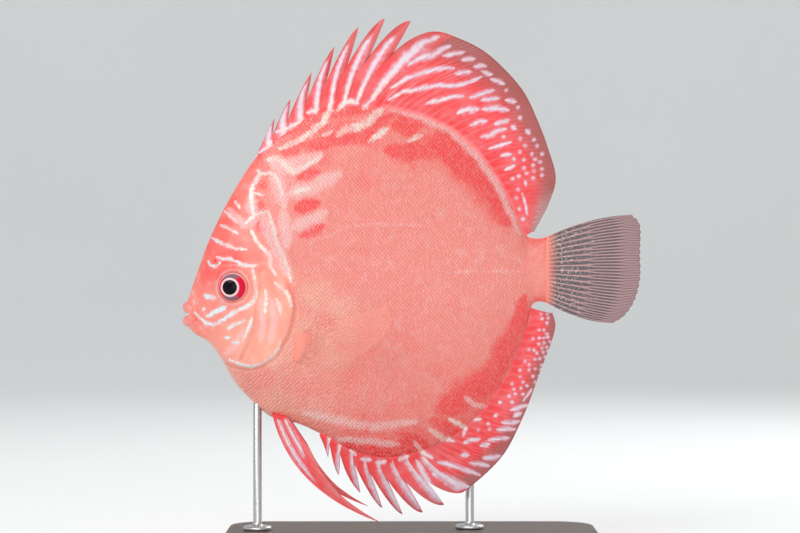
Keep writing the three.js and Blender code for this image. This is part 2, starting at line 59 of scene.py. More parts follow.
# %% Two ways to join a few points
def through(pairs):
    """A function of x through (x, y) pairs: cubic pieces, each with the slope of the chord
    between its neighbours."""
    knots = np.array(pairs, float)
    x, y = knots.T
    last = len(x) - 1
    before, after = np.maximum(np.arange(last + 1) - 1, 0), np.minimum(np.arange(last + 1) + 1, last)
    slope = (y[after] - y[before]) / (x[after] - x[before])

    def read(at):
        at = np.asarray(at, float)
        i = np.clip(np.searchsorted(x, at) - 1, 0, last - 1)
        span = x[i + 1] - x[i]
        t = np.clip((at - x[i]) / span, 0, 1)
        rise = y[i] * (2 * t**3 - 3 * t**2 + 1) + y[i + 1] * (3 * t**2 - 2 * t**3)
        bend = slope[i] * (t**3 - 2 * t**2 + t) + slope[i + 1] * (t**3 - t**2)
        return rise + span * bend

    return read


def outline(points, steps=1200):
    """A smooth line through (x, z) points, read by the share of its length from 0 to 1."""
    p = np.array(points, float)
    p = np.vstack([2 * p[0] - p[1], p, 2 * p[-1] - p[-2]])
    knot = np.r_[0, np.cumsum(np.linalg.norm(np.diff(p, axis=0), axis=1) ** 0.5)]
    fine = np.linspace(knot[1], knot[-2], steps * 4)
    i = np.clip(np.searchsorted(knot, fine, side="right") - 1, 1, len(p) - 3)

    def blend(a, b, ta, tb):
        share = ((fine - ta) / (tb - ta))[:, None]
        return a * (1 - share) + b * share

    t0, t1, t2, t3 = knot[i - 1], knot[i], knot[i + 1], knot[i + 2]
    a1, a2 = blend(p[i - 1], p[i], t0, t1), blend(p[i], p[i + 1], t1, t2)
    a3 = blend(p[i + 1], p[i + 2], t2, t3)
    line = blend(blend(a1, a2, t0, t2), blend(a2, a3, t1, t3), t1, t2)
    length = np.r_[0, np.cumsum(np.linalg.norm(np.diff(line, axis=0), axis=1))]
    share = length / length[-1]

    def read(at):
        at = np.clip(at, 0, 1)
        return np.stack([np.interp(at, share, line[:, k]) for k in (0, 1)], axis=-1)

    return read


def smooth(low, high, x):
    """0 below low, 1 above high, and an S-curve between them."""
    t = np.clip((x - low) / (high - low), 0, 1)
    return t * t * (3 - 2 * t)


back = outline(
    [(-78.3, 88.9), (-75.7, 96.4), (-70.3, 110.9), (-62.2, 126.7), (-52.4, 140.7), (-35.3, 154.3)]
    + [(-20.2, 157.8), (-4.1, 156.6), (9.2, 152.2), (19.7, 144.8), (28.4, 134.7), (35.1, 122.5)]
    + [(40.0, 111.2), (43.8, 110.0), (47.3, 110.6)]
)
belly = outline(
    [(-77.8, 78.6), (-75.5, 76.4), (-71.2, 73.9), (-66.4, 67.6), (-62.2, 60.2), (-52.4, 50.0)]
    + [(-48.6, 47.4), (-39.8, 45.3), (-31.4, 41.4), (-21.6, 35.8), (-9.7, 32.9), (5.7, 35.7)]
    + [(20.7, 44.8), (31.9, 59.5), (40.0, 78.0), (42.4, 87.1), (44.9, 88.0), (47.3, 87.5)]
)
print("the back runs from", back(0), "to", back(1))

# %% [markdown]
# ## The body's width
#
# Seen from the front the fish is a thin leaf, sharp along the back and the belly. A lofted
# mesh could take its sections from drawings. Here every section comes from one formula, so
# any point of the flank can be asked for its width, which the scales and fins need later.

# %% Width as a formula
BODY_WIDTH = 22
WIDEST_AT = 0.44
WIDEST_POWER = np.log(0.5) / np.log(WIDEST_AT)
HALVINGS = 22
width_share = through(
    [(0, 0.34), (0.04, 0.47), (0.09, 0.65), (0.15, 0.82), (0.22, 0.93), (0.32, 1)]
    + [(0.42, 0.97), (0.55, 0.86), (0.7, 0.66), (0.85, 0.46), (1, 0.3)]
)
edge_power = through([(0, 0.5), (0.12, 0.6), (0.3, 0.74), (0.8, 0.74), (1, 0.6)])


def half_width(along, up):
    """Half the width: the share along the body sets how wide, and a power of a sine of the
    share of the height rounds the section, widest a little below the middle."""
    arch = np.sin(np.pi * np.clip(up, 0, 1) ** WIDEST_POWER)
    return BODY_WIDTH / 2 * width_share(along) * np.maximum(arch, 0) ** edge_power(along)


def place_of(xz):
    """The share along the body and up it at (x, z) points: the section that passes through
    each point is found by halving."""
    x, z = xz[..., 0], xz[..., 1]
    low, high = np.zeros(x.shape), np.ones(x.shape)
    for _ in range(HALVINGS):
        middle = (low + high) / 2
        foot, top = belly(middle), back(middle)
        run = top - foot
        ahead = run[..., 0] * (z - foot[..., 1]) - run[..., 1] * (x - foot[..., 0])
        low, high = np.where(ahead < 0, middle, low), np.where(ahead < 0, high, middle)
    foot, top = belly(low), back(low)
    run = top - foot
    up = ((x - foot[..., 0]) * run[..., 0] + (z - foot[..., 1]) * run[..., 1]) / (run**2).sum(-1)
    return low, up


print("half as wide as", half_width(*place_of(np.array([-40.0, 72.0]))), "mm where the breast fin grows")

# %% [markdown]
# ## From arrays to meshes
#
# Every piece below is a grid of points worked out at once. This cell turns such a grid into
# a mesh. Building faces one by one would take minutes for a fish with nearly twenty thousand
# scales, so faces are whole arrays too, and the arrays go to Blender in one call each.

# %% Mesh helpers
PIECES = {}


def grid_faces(rows, columns):
    """Quads between neighbours of a grid whose points run row by row, with the last column
    joined to the first."""
    i, j = np.meshgrid(np.arange(rows - 1), np.arange(columns), indexing="ij")
    k = (j + 1) % columns
    corners = [i * columns + j, i * columns + k, (i + 1) * columns + k, (i + 1) * columns + j]
    return np.stack(corners, axis=-1).reshape(-1, 4)


def fan_faces(ring, middle):
    """Triangles from each step of a closed ring of point numbers to one in the middle."""
    return np.stack([ring, np.roll(ring, -1), np.full(len(ring), middle)], axis=-1)


def tube_faces(rows, columns):
    """The faces of a closed body through equal rings: the grid, then a fan over each end to
    the two last points."""
    ring, count = np.arange(columns), rows * columns
    fans = [fan_faces(ring[::-1], count), fan_faces(ring + count - columns, count + 1)]
    return [grid_faces(rows, columns), *fans]


def with_ends(points, columns):
    """The points of equal rings, then the middles of the first and the last ring."""
    return np.vstack([points, points[:columns].mean(0), points[-columns:].mean(0)])


def volume(points, faces):
    """Six times the volume inside closed faces: the sum of the corners' triple products."""
    total = 0
    for group in faces:
        corner = points[group]
        for k in range(1, group.shape[1] - 1):
            total += (corner[:, 0] * np.cross(corner[:, k], corner[:, k + 1])).sum()
    return total


def make_piece(name, points, faces, replaced=(), attributes=None, bake_uv=None):
    """A smooth-shaded mesh from (x, y, z) millimetres and arrays of faces, turned to face
    outwards, riding on the model's one body."""
    if volume(points, faces) < 0:
        faces = [group[:, ::-1] for group in faces]
    counts = np.concatenate([np.full(len(group), group.shape[1]) for group in faces])
    corners = np.concatenate([group.ravel() for group in faces]).astype(np.int32)
    mesh = bpy.data.meshes.new(name)
    mesh.vertices.add(len(points))
    mesh.vertices.foreach_set("co", (points * MM).astype(np.float32).ravel())
    mesh.loops.add(len(corners))
    mesh.loops.foreach_set("vertex_index", corners)
    mesh.polygons.add(len(counts))
    mesh.polygons.foreach_set("loop_start", np.r_[0, np.cumsum(counts)[:-1]].astype(np.int32))
    mesh.polygons.foreach_set("use_smooth", np.ones(len(counts), bool))
    mesh.update(calc_edges=True)
    for key, values in (attributes or {}).items():
        layer = mesh.attributes.new(key, "FLOAT", "POINT")
        layer.data.foreach_set("value", np.broadcast_to(values, len(points)).astype(np.float32))
    if bake_uv is not None:
        layer = mesh.uv_layers.new(name="OFBake")
        layer.data.foreach_set("uv", bake_uv[corners].astype(np.float32).ravel())
    piece = bpy.data.objects.new(name, mesh)
    bpy.context.scene.collection.objects.link(piece)
    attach(piece, "root")
    if replaced:
        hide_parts(*replaced)
    PIECES[name] = piece
    print(f"{name}: {len(points)} points, {int((counts - 2).sum())} triangles")


# %% [markdown]
# ## The marks on the fish
#
# This breed is salmon red with pale, broken lines: bluish on the head, cream on the back and
# lavender on the fins. They could be painted on an image. Here each mark is a stroke with a
# width, placed by points seen in the photograph, and the paint asks how deep inside a stroke
# a point of the skin lies. Skin, scales and fins ask the same strokes, so a line runs over
# all three.

# %% Strokes
PHOTO_MIDDLE = 411.8
PHOTO_GROUND = 552.86
MM_PER_PIXEL = 0.35
STROKE_TAPER = 0.5
DOT_LENGTH = 1e-6


def photo(points):
    """(x, z) in millimetres of points seen in the photograph, in its pixels."""
    p = np.array(points, float).reshape(-1, 2)
    return np.stack([p[:, 0] - PHOTO_MIDDLE, PHOTO_GROUND - p[:, 1]], axis=-1) * MM_PER_PIXEL


def marks(xz, strokes):
    """1 on a stroke's line, 0 on its edge and -1 well outside it, for the nearest stroke.
    A stroke is (half its width in millimetres, points), and is narrower towards its ends."""
    best = np.full(len(xz), -1.0)
    for width, points in strokes:
        line = photo(points)
        low, high = line.min(0) - 2 * width, line.max(0) + 2 * width
        near = np.flatnonzero(((xz > low) & (xz < high)).all(axis=1))
        if len(near) == 0:
            continue
        if len(line) == 1:
            line = np.vstack([line, line + DOT_LENGTH])
        p, pieces = xz[near], len(line) - 1
        for k in range(pieces):
            run = line[k + 1] - line[k]
            t = np.clip(((p - line[k]) @ run) / max(run @ run, 1e-9), 0, 1)
            away = np.linalg.norm(p - line[k] - t[:, None] * run, axis=1)
            end = np.abs(2 * (k + t) / pieces - 1) if pieces > 1 or run @ run > 0.1 else 0
            here = 1 - away / (width * (1 - STROKE_TAPER * end**4))
            best[near] = np.maximum(best[near], here)
    return best


LINE_GROW = 1.15
HALO_GROW = 2.6
HEAD_LINES = [
    (0.55, [(218, 257), (225, 259), (232, 259), (239, 262), (245, 265), (252, 266), (260, 265)]),
    (0.5, [(209, 261), (211, 265), (217, 267), (222, 262)]),
    (
        0.65,
        [(253, 266), (256, 276), (257, 284), (258, 293), (256, 300), (250, 305), (244, 308)]
        + [(237, 311), (231, 315), (225, 319), (219, 323), (213, 324), (206, 322)]
        + [(200, 317), (196, 312)],
    ),
    (0.7, [(208, 316), (218, 311), (229, 306)]),
    (0.6, [(205, 309)]),
    (0.8, [(206, 295), (217, 298)]),
    (0.5, [(229, 328), (236, 324), (246, 320)]),
    (0.55, [(234, 342), (241, 342)]),
    (0.45, [(225, 337), (232, 337)]),
    (0.5, [(254, 316), (250, 328), (244, 341)]),
    (0.6, [(267, 289), (268, 300), (266, 313)]),
    (0.6, [(278, 298), (281, 306), (282, 313)]),
    (0.65, [(276, 282), (285, 289), (291, 297), (293, 307)]),
    (0.55, [(231, 359), (241, 363), (253, 366), (264, 362), (272, 357), (279, 349), (282, 340)]),
    (0.55, [(225, 211), (232, 217), (238, 223)]),
    (0.5, [(221, 225), (230, 229), (239, 234)]),
    (0.6, [(212, 238), (224, 244), (236, 248), (249, 250)]),
    (0.5, [(235, 201), (241, 209)]),
    (0.7, [(258, 170), (261, 174), (255, 183), (252, 191), (252, 196), (253, 208), (255, 216), (246, 224)]),
    (0.65, [(252, 230), (256, 238), (258, 242), (267, 251), (272, 256), (271, 265), (278, 276)]),
    (0.6, [(261, 174), (270, 174), (276, 175), (280, 185), (284, 196)]),
    (0.7, [(269, 211), (275, 229), (278, 242), (285, 257), (290, 271), (292, 282)]),
    (0.45, [(251, 192), (258, 194), (264, 196)]),
    (0.5, [(255, 216), (261, 213), (269, 212), (272, 219), (275, 231)]),
]
BACK_PATCHES = [
    (0.9, [(259, 153), (269, 147), (272, 141)]),
    (1.1, [(276, 132), (288, 128), (300, 122)]),
    (1.1, [(307, 113), (319, 109)]),
    (1.3, [(280, 149), (298, 141), (313, 132), (325, 120), (330, 109), (329, 104)]),
    (1.3, [(338, 111), (344, 103), (351, 101), (358, 104)]),
    (1.3, [(363, 109), (370, 101)]),
    (1.0, [(323, 136), (332, 132)]),
    (1.6, [(338, 136), (344, 131), (356, 128), (367, 123), (378, 113), (382, 109)]),
    (1.3, [(369, 142), (379, 135), (388, 129)]),
    (1.1, [(408, 142), (422, 135)]),
    (1.2, [(268, 160), (278, 158), (284, 164), (295, 173), (307, 166), (322, 157)]),
    (1.0, [(295, 193), (303, 190), (311, 189)]),
    (1.0, [(350, 450), (356, 455)]),
    (1.1, [(361, 459), (371, 460)]),
    (1.1, [(376, 463), (386, 461)]),
    (1.2, [(399, 460), (408, 456)]),
    (1.2, [(414, 441), (423, 453), (433, 458)]),
    (1.2, [(429, 428), (441, 437), (454, 441)]),
    (1.0, [(449, 418), (466, 428), (463, 436)]),
]
PALE_VEILS = [
    (1.3, [(384, 106), (413, 114), (451, 131), (476, 154), (496, 183), (510, 213), (520, 234)]),
    (2.1, [(273, 174), (281, 188), (285, 206)]),
    (2.1, [(284, 213), (287, 228), (288, 246)]),
    (2.4, [(270, 160), (283, 169), (304, 162), (320, 155)]),
    (2.3, [(291, 194), (312, 188), (340, 175)]),
    (2.2, [(293, 228), (313, 221), (325, 213)]),
    (1.9, [(252, 193), (253, 208), (264, 220), (270, 235), (282, 256), (288, 274)]),
    (1.7, [(244, 226), (258, 220)]),
    (1.3, [(229, 209), (245, 224)]),
    (1.2, [(262, 300), (264, 322), (262, 340)]),
    (1.2, [(273, 300), (276, 320), (272, 342)]),
    (1.2, [(244, 330), (236, 348), (226, 353)]),
    (1.5, [(304, 412), (336, 419), (372, 426), (416, 421)]),
    (1.1, [(338, 438), (372, 441), (398, 444)]),
    (0.9, [(464, 396), (474, 404), (486, 406)]),
]
SENSE_LINES = [
    (0.7, [(316, 240), (329, 236), (349, 227), (376, 224), (402, 225), (429, 227)]),
    (0.6, [(446, 273), (480, 271), (528, 272)]),
]
RED_PATCHES = [
    (2.0, [(274, 137), (294, 129), (316, 117), (320, 112)]),
    (2.2, [(284, 153), (309, 147), (332, 141), (367, 138), (382, 122), (391, 116)]),
    (1.8, [(332, 116), (353, 112), (370, 107)]),
    (4.6, [(398, 127), (419, 123)]),
    (5.0, [(411, 147), (455, 139), (475, 150)]),
    (6.0, [(450, 143), (461, 156), (481, 174), (500, 200), (506, 216)]),
    (3.0, [(388, 150), (414, 156)]),
    (2.4, [(343, 446), (380, 453), (416, 450)]),
    (2.6, [(399, 435), (426, 446)]),
    (3.2, [(433, 420), (459, 430)]),
    (5.0, [(441, 410), (474, 393), (492, 372)]),
    (3.8, [(483, 392), (500, 362), (512, 335)]),
    (2.2, [(508, 345), (518, 318), (524, 298)]),
    (2.2, [(299, 209), (318, 204)]),
    (2.0, [(303, 236), (322, 227)]),
    (1.5, [(264, 184), (263, 188)]),
    (1.5, [(260, 205), (263, 206)]),
    (1.6, [(261, 222), (264, 232)]),
    (1.8, [(286, 154), (311, 145)]),
    (1.8, [(301, 178), (318, 173)]),
]
FOREHEAD = (8.0, [(212, 275), (222, 235), (240, 195), (262, 155)])
FLUSH, EDGE_RED = 0.42, 0.62
HALO, SENSE, EYE_RING = 0.45, 0.4, 0.8
PEACH_PATCHES = [
    (19.0, [(245, 340), (268, 360), (300, 395)]),
    (12.0, [(262, 310), (280, 285)]),
    (13.0, [(315, 300), (330, 350)]),
]
EYE_AT = np.array([-62.0, 93.0])
EYE_RADIUS = 5.2


def bump(x, width):
    """1 at 0, falling to nothing over about twice the width, as a bell."""
    return np.exp(-((x / width) ** 2))


def grown(strokes, times):
    """The same strokes, each so many times as wide."""
    return [(width * times, points) for width, points in strokes]


def paint_masks(xz):
    """The masks of the skin's paint at (x, z) points, all from strokes. Red also deepens
    towards the back and the belly's rear edge, and veils also lie round the pale lines of
    the head, along the sense line and round the eye."""
    along, up = place_of(xz)
    high = smooth(0.74, 1.0, up) * smooth(0.25, 0.4, along)
    low = (1 - smooth(0.02, 0.2, up)) * smooth(0.34, 0.5, along)
    patches = smooth(-1.0, 0.7, marks(xz, RED_PATCHES))
    flush = FLUSH * smooth(-1.0, 0.6, marks(xz, [FOREHEAD]))
    veils = smooth(-1.0, 0.8, marks(xz, PALE_VEILS))
    halo = HALO * smooth(-0.4, 0.9, marks(xz, grown(HEAD_LINES, HALO_GROW)))
    sense = SENSE * smooth(-0.6, 1.0, marks(xz, SENSE_LINES))
    eye_ring = EYE_RING * bump(np.linalg.norm(xz - EYE_AT, axis=1) - EYE_RADIUS - 0.45, 0.5)
    return {
        "pale": marks(xz, grown(HEAD_LINES, LINE_GROW) + BACK_PATCHES),
        "veil": np.max([veils, halo, eye_ring, sense], axis=0),
        "red": np.max([patches, EDGE_RED * np.maximum(high, low), flush], axis=0),
        "peach": smooth(-0.9, 0.9, marks(xz, PEACH_PATCHES)),
        "cool": 1 - smooth(0.14, 0.34, along),
    }


print(sum(len(points) for _, points in HEAD_LINES + BACK_PATCHES), "points draw the pale marks")

# %% [markdown]
# ## The relief of the head and flank
#
# A head that is only smooth looks like soap. On a real discus the eye sits in a raised ring,
# a fold runs back from the mouth, the cheek swells, and the gill cover ends in a free edge
# that stands off the flank. These could be sculpted. As formulas of the distance to a line
# or a point they stay exact and easy to move, and they push the flank in or out by parts of
# a millimetre.

# %% Lines of relief
gill_edge = outline(
    [(-66.9, 67.4), (-59.6, 65.0), (-53.4, 65.4), (-48.0, 68.6), (-44.4, 73.5), (-41.8, 79.3)]
    + [(-40.8, 87.0), (-43.1, 94.9), (-52.1, 109.5), (-55.9, 122.5), (-54.2, 143.5)]
)
GILL_TOP = 97.0
HEAD_END = -34
CHEEK_AT = np.array([-60.0, 79.0])
cheek_edge = outline(
    [(-47.9, 98.3), (-52.2, 98.9), (-53.5, 93.5), (-53.9, 80.7), (-55.6, 75.2), (-59.0, 68.0)]
)
jaw_fold = outline([(-77.2, 83.4), (-75.0, 81.6), (-72.6, 78.6), (-70.4, 76.8)])
lip_fold = outline([(-76.4, 89.8), (-75.2, 86.6), (-75.4, 82.0), (-74.6, 78.4)])
snout_fold = outline([(-75.6, 93.6), (-72.0, 90.4), (-69.2, 86.0), (-66.0, 82.6)])
NOSTRIL_AT = np.array([-68.5, 102.0])


def distance(xz, line, steps=60):
    """How far each point is from a line, and on which side: positive to the left of its run."""
    p = line(np.linspace(0, 1, steps))
    away, side = np.full(len(xz), 1e9), np.ones(len(xz))
    for a, b in zip(p[:-1], p[1:]):
        run = b - a
        t = np.clip(((xz - a) @ run) / (run @ run), 0, 1)
        off = xz - a - t[:, None] * run
        here = np.hypot(off[:, 0], off[:, 1])
        closer = here < away
        away = np.where(closer, here, away)
        side = np.where(closer, np.sign(run[0] * off[:, 1] - run[1] * off[:, 0]), side)
    return away, side


def relief(xz):
    """How far the flank stands out of its smooth form, in millimetres: bells and S-curves of
    the distance to each line or point of the head, added up, and low waves everywhere."""
    out = np.zeros(len(xz))
    face = np.flatnonzero(xz[:, 0] < HEAD_END)
    p = xz[face]
    from_eye = np.linalg.norm(p - EYE_AT, axis=1)
    socket = -2.6 * (1 - smooth(EYE_RADIUS - 0.6, EYE_RADIUS + 0.15, from_eye))
    ring = 0.75 * bump(from_eye - EYE_RADIUS - 0.75, 0.7) - 0.3 * bump(from_eye - 8.3, 1.0)
    gill, inside = distance(p, gill_edge)
    gill = gill * inside
    cover = 1 - smooth(GILL_TOP - 5, GILL_TOP + 1, p[:, 1])
    plate = cover * 0.95 * smooth(-0.15, 0.35, gill) * (1 - smooth(2, 15, gill))
    gap = -0.5 * cover * bump(gill + 0.45, 0.4)
    ridge = 0.3 * cover * bump(gill - 1.5, 0.9)
    cheek = distance(p, cheek_edge)[0]
    groove = -0.5 * bump(cheek, 0.55) + 0.3 * bump(cheek - 1.3, 0.8)
    folds = -0.45 * bump(distance(p, jaw_fold)[0], 0.5) - 0.35 * bump(distance(p, lip_fold)[0], 0.6)
    folds += -0.2 * bump(distance(p, snout_fold)[0], 0.7)
    swell = 0.6 * bump(np.linalg.norm(p - CHEEK_AT, axis=1), 6.0)
    nose = np.linalg.norm(p - NOSTRIL_AT, axis=1)
    nostril = -1.1 * bump(nose, 0.5) + 0.22 * bump(nose - 0.95, 0.35)
    out[face] = socket + ring + plate + gap + ridge + groove + folds + swell + nostril
    lumps = np.sin(xz[:, 0] * 0.31 + xz[:, 1] * 0.11) * np.sin(xz[:, 1] * 0.23 - xz[:, 0] * 0.07)
    return out + 0.12 * lumps


print("the eye's ring stands", relief(EYE_AT[None] + (EYE_RADIUS + 0.75, 0))[0].round(2), "mm out")

# %% [markdown]
# ## The skin
#
# One unbroken skin covers head, gill covers, trunk and tail stalk. It could be the packed
# solids with a remesh, but their cuts would show. Instead the same formula makes a grid that
# is closer at the head. It lies a fifth of a millimetre under the solids, because the
# scales lie on top.

# %% The skin grid
SKIN_INSET = 0.2
SKIN_RINGS = 330
SKIN_SIDES = 272
THIN_FADE = (0.3, 2.5)


def skin_point(along, angle):
    """A point of the skin: up the section by half of one minus the cosine of the angle, and
    out by the half width there, with the relief faded out at the sharp edges."""
    up = (1 - np.cos(angle)) / 2
    xz = belly(along) * (1 - up)[:, None] + back(along) * up[:, None]
    wide = half_width(along, up)
    fade = smooth(*THIN_FADE, wide)
    out = np.maximum(wide - SKIN_INSET * fade + relief(xz) * fade, 0)
    side = np.where(angle < np.pi, -1, 1)
    return np.stack([xz[:, 0], side * out, xz[:, 1]], axis=-1), xz


share = np.linspace(0, 1, SKIN_RINGS)
rings = 0.42 * share + 0.58 * share**1.9
angles = np.linspace(0, 2 * np.pi, SKIN_SIDES, endpoint=False)
along, angle = (grid.ravel() for grid in np.meshgrid(rings, angles, indexing="ij"))
points, skin_xz = skin_point(along, angle)
masks = {key: np.r_[values, 0, 0] for key, values in paint_masks(skin_xz).items()}
UV_EDGE = 0.02


def skin_uv(along, angle):
    """The skin unrolled: along the body one way, round it the other."""
    flat = np.stack([along, angle / (2 * np.pi)], axis=-1)
    return UV_EDGE + (1 - 2 * UV_EDGE) * flat


skin_bake = np.vstack([skin_uv(along, angle), skin_uv(np.array([0.0, 1.0]), np.zeros(2))])
FLESH = ["head", "trunk", "tail_stalk", "gill_cover_left", "gill_cover_right"]
points, faces = with_ends(points, SKIN_SIDES), tube_faces(SKIN_RINGS, SKIN_SIDES)
make_piece("skin", points, faces, FLESH, masks, skin_bake)

# %% [markdown]
# ## Scales
#
# A discus has small, thin, round scales in staggered rows, each overlapping the one behind
# it. Bump mapping could fake them, but it fails at a glancing view. Particles would be lost
# when the model is exported. So each scale is a real plate of a few dozen triangles, and all
# of them come out of one array calculation: rows, then plates in a row, then the points of a
# plate.

# %% Lay out the rows
SCALE_STEP = 1.32
ROW_STEP = 0.79
SCALE_LONG = 0.97
SCALE_WIDE = 0.75
ROW_SQUEEZE, SQUEEZE_MIDDLE, SQUEEZE_LENGTH = 0.3, -15, 60
MID_HEIGHT = 97.0
ROWS, PLACES = (-110, 110), (-64, 42)
JITTER_ALONG, JITTER_UP = 0.15, 0.09
SLOPE_STEP = 0.5
SCALED_UP, SCALED_ALONG = (0.004, 0.996), (0.03, 0.995)
LEAST_WIDTH = 0.45
GILL_CLEAR = 0.9


def row_height(x, row):
    """The height of a row of scales. Rows run along the body and draw together at its ends:
    their spacing is divided by one plus a square of the way from the middle."""
    return MID_HEIGHT + row / (1 + ROW_SQUEEZE * ((x - SQUEEZE_MIDDLE) / SQUEEZE_LENGTH) ** 2)


row, place = np.meshgrid(np.arange(*ROWS), np.arange(*PLACES), indexing="ij")
x = (place + 0.5 * (row % 2)) * SCALE_STEP + JITTER_ALONG * rng.standard_normal(row.shape)
z = row_height(x, row * ROW_STEP) + JITTER_UP * rng.standard_normal(row.shape)
centres = np.stack([x.ravel(), z.ravel()], axis=-1)
ahead, behind = (row_height(x + step, row * ROW_STEP) for step in (SLOPE_STEP, -SLOPE_STEP))
lean = np.arctan2((ahead - behind).ravel(), 2 * SLOPE_STEP)
c_along, c_up = place_of(centres)
gill, inside = distance(centres, gill_edge)
keep = (c_up > SCALED_UP[0]) & (c_up < SCALED_UP[1])
keep &= (c_along > SCALED_ALONG[0]) & (c_along < SCALED_ALONG[1])
keep &= (half_width(c_along, c_up) > LEAST_WIDTH) & (gill * inside < -GILL_CLEAR)
centres, lean, c_along = centres[keep], lean[keep], c_along[keep]
print(len(centres), "scales a side")

# %% Shape the plates
PLATE_CORNERS = 8
PLATE_THICK = 0.07
PLATE_INNER, RIM_DROP = 0.6, 0.25
LIFT_FRONT, LIFT_REAR, LIFT_ALL = -0.08, 0.1, 0.03
FRONT_THICKER = 1.5
TAPER, DOME = 0.12, 0.02
SIZE_JITTER, LIFT_JITTER = 0.08, 0.012
STALK_SMALLER = 0.28
NORMAL_STEP = 0.2
BAKE_PATCH = 0.0015


def plate_template():
    """A round plate: a middle point, a ring part of the way out, the rim, the rim again
    below, and a middle point below, as (share back, share across) and share down."""
    n = PLATE_CORNERS
    turn = np.linspace(0, 2 * np.pi, n, endpoint=False)
    circle = np.stack([np.cos(turn), np.sin(turn)], axis=-1)
    rows = [np.zeros((1, 2)), PLATE_INNER * circle, circle, circle, np.zeros((1, 2))]
    down = np.r_[np.zeros(n + 1), np.full(n, RIM_DROP), np.ones(n + 1)]
    loops = [start + np.arange(n) for start in (1, 1 + n, 1 + 2 * n)]
    quads = [
        np.stack([a, b, np.roll(b, -1), np.roll(a, -1)], axis=-1)
        for a, b in zip(loops[:-1], loops[1:])
    ]
    fans = [fan_faces(loops[0], 0), fan_faces(loops[2][::-1], 3 * n + 1)]
    return np.vstack(rows), down, np.vstack(quads), np.vstack(fans)


def scale_plates(name, side, chosen):
    """Plates on one side of the fish. Each is turned along its row, stretched, and laid on
    the flank, with its front edge under the skin and its rear edge lifted off it."""
    flat, down, quads, fans = plate_template()
    n, m = len(chosen), len(flat)
    size = 1 + SIZE_JITTER * rng.standard_normal(n)
    size *= 1 - STALK_SMALLER * smooth(0.82, 1, c_along[chosen])
    a = flat[None, :, 0] * (SCALE_LONG * size)[:, None]
    b = flat[None, :, 1] * (SCALE_WIDE * size)[:, None] * (1 - TAPER * flat[None, :, 0])
    cos, sin = np.cos(lean[chosen])[:, None], np.sin(lean[chosen])[:, None]
    xz = centres[chosen][:, None] + np.stack([a * cos - b * sin, a * sin + b * cos], axis=-1)
    flatxz = xz.reshape(-1, 2)
    u, v = place_of(flatxz)
    v = np.clip(v, 0.001, 0.999)
    held = belly(u) * (1 - v)[:, None] + back(u) * v[:, None]
    out = half_width(u, v)
    dx = (half_width(*place_of(held + (NORMAL_STEP, 0))) - out) / NORMAL_STEP
    dz = (half_width(*place_of(held + (0, NORMAL_STEP))) - out) / NORMAL_STEP
    normal = np.stack([-dx, np.ones_like(out), -dz], axis=-1)
    normal /= np.linalg.norm(normal, axis=1)[:, None]
    back_share = np.broadcast_to((flat[:, 0] + 1) / 2, (n, m)).ravel()
    rim = np.broadcast_to(np.hypot(*flat.T), (n, m)).ravel()
    lift = LIFT_FRONT + (LIFT_REAR - LIFT_FRONT) * back_share + DOME * (1 - rim**2)
    lift = lift + np.repeat(LIFT_JITTER * rng.standard_normal(n), m)
    thick = PLATE_THICK * np.broadcast_to(down, (n, m)).ravel()
    lift -= thick * (1 + FRONT_THICKER * (1 - back_share))
    fade = smooth(*THIN_FADE, out)
    base = np.stack([held[:, 0], out + (relief(held) - SKIN_INSET) * fade, held[:, 1]], axis=-1)
    p = base + normal * (lift * smooth(0.0, 1.5, out) + LIFT_ALL)[:, None]
    p[:, 1] *= side
    start = (np.arange(n) * m)[:, None, None]
    faces = [(start + quads).reshape(-1, 4), (start + fans).reshape(-1, 3)]
    masks = paint_masks(flatxz)
    masks["tone"] = np.repeat(rng.random(n), m)
    masks["rim"] = rim
    masks["rear"] = back_share
    middle_u, middle_v = place_of(centres[chosen])
    turn = np.arccos(1 - 2 * np.clip(middle_v, 0, 1))
    turn = turn if side < 0 else 2 * np.pi - turn
    patch = np.broadcast_to(flat * BAKE_PATCH, (n, m, 2)).reshape(-1, 2)
    uv = np.repeat(skin_uv(middle_u, turn), m, axis=0) + patch
    make_piece(name, p, faces, (), masks, uv)


order = np.argsort(centres[:, 0])
for side, word in ((-1, "left"), (1, "right")):
    for part, chosen in zip(("front", "middle", "rear"), np.array_split(order, 3)):
        scale_plates(f"scales_{part}_{word}", side, chosen)

# %% [markdown]
# ## Fins
#
# A fin is a skin stretched over rays. Stiff, sharp spines carry the front of the back fin
# and of the belly fin, with a pointed flap behind each. Soft, branching rays carry the rest.
# A flat card with a drawn pattern would be quick, but the rays catch the light and show from
# every side. So each fin is a closed sheet, thick at the root, with its rays raised.

# %% A sheet over rays
FIN_ROWS = 44
MEMBRANE = 0.34
ROOT_FADE = 6.0
FILLET, FILLET_MOST, FILLET_LENGTH = 0.6, 0.7, 2.2


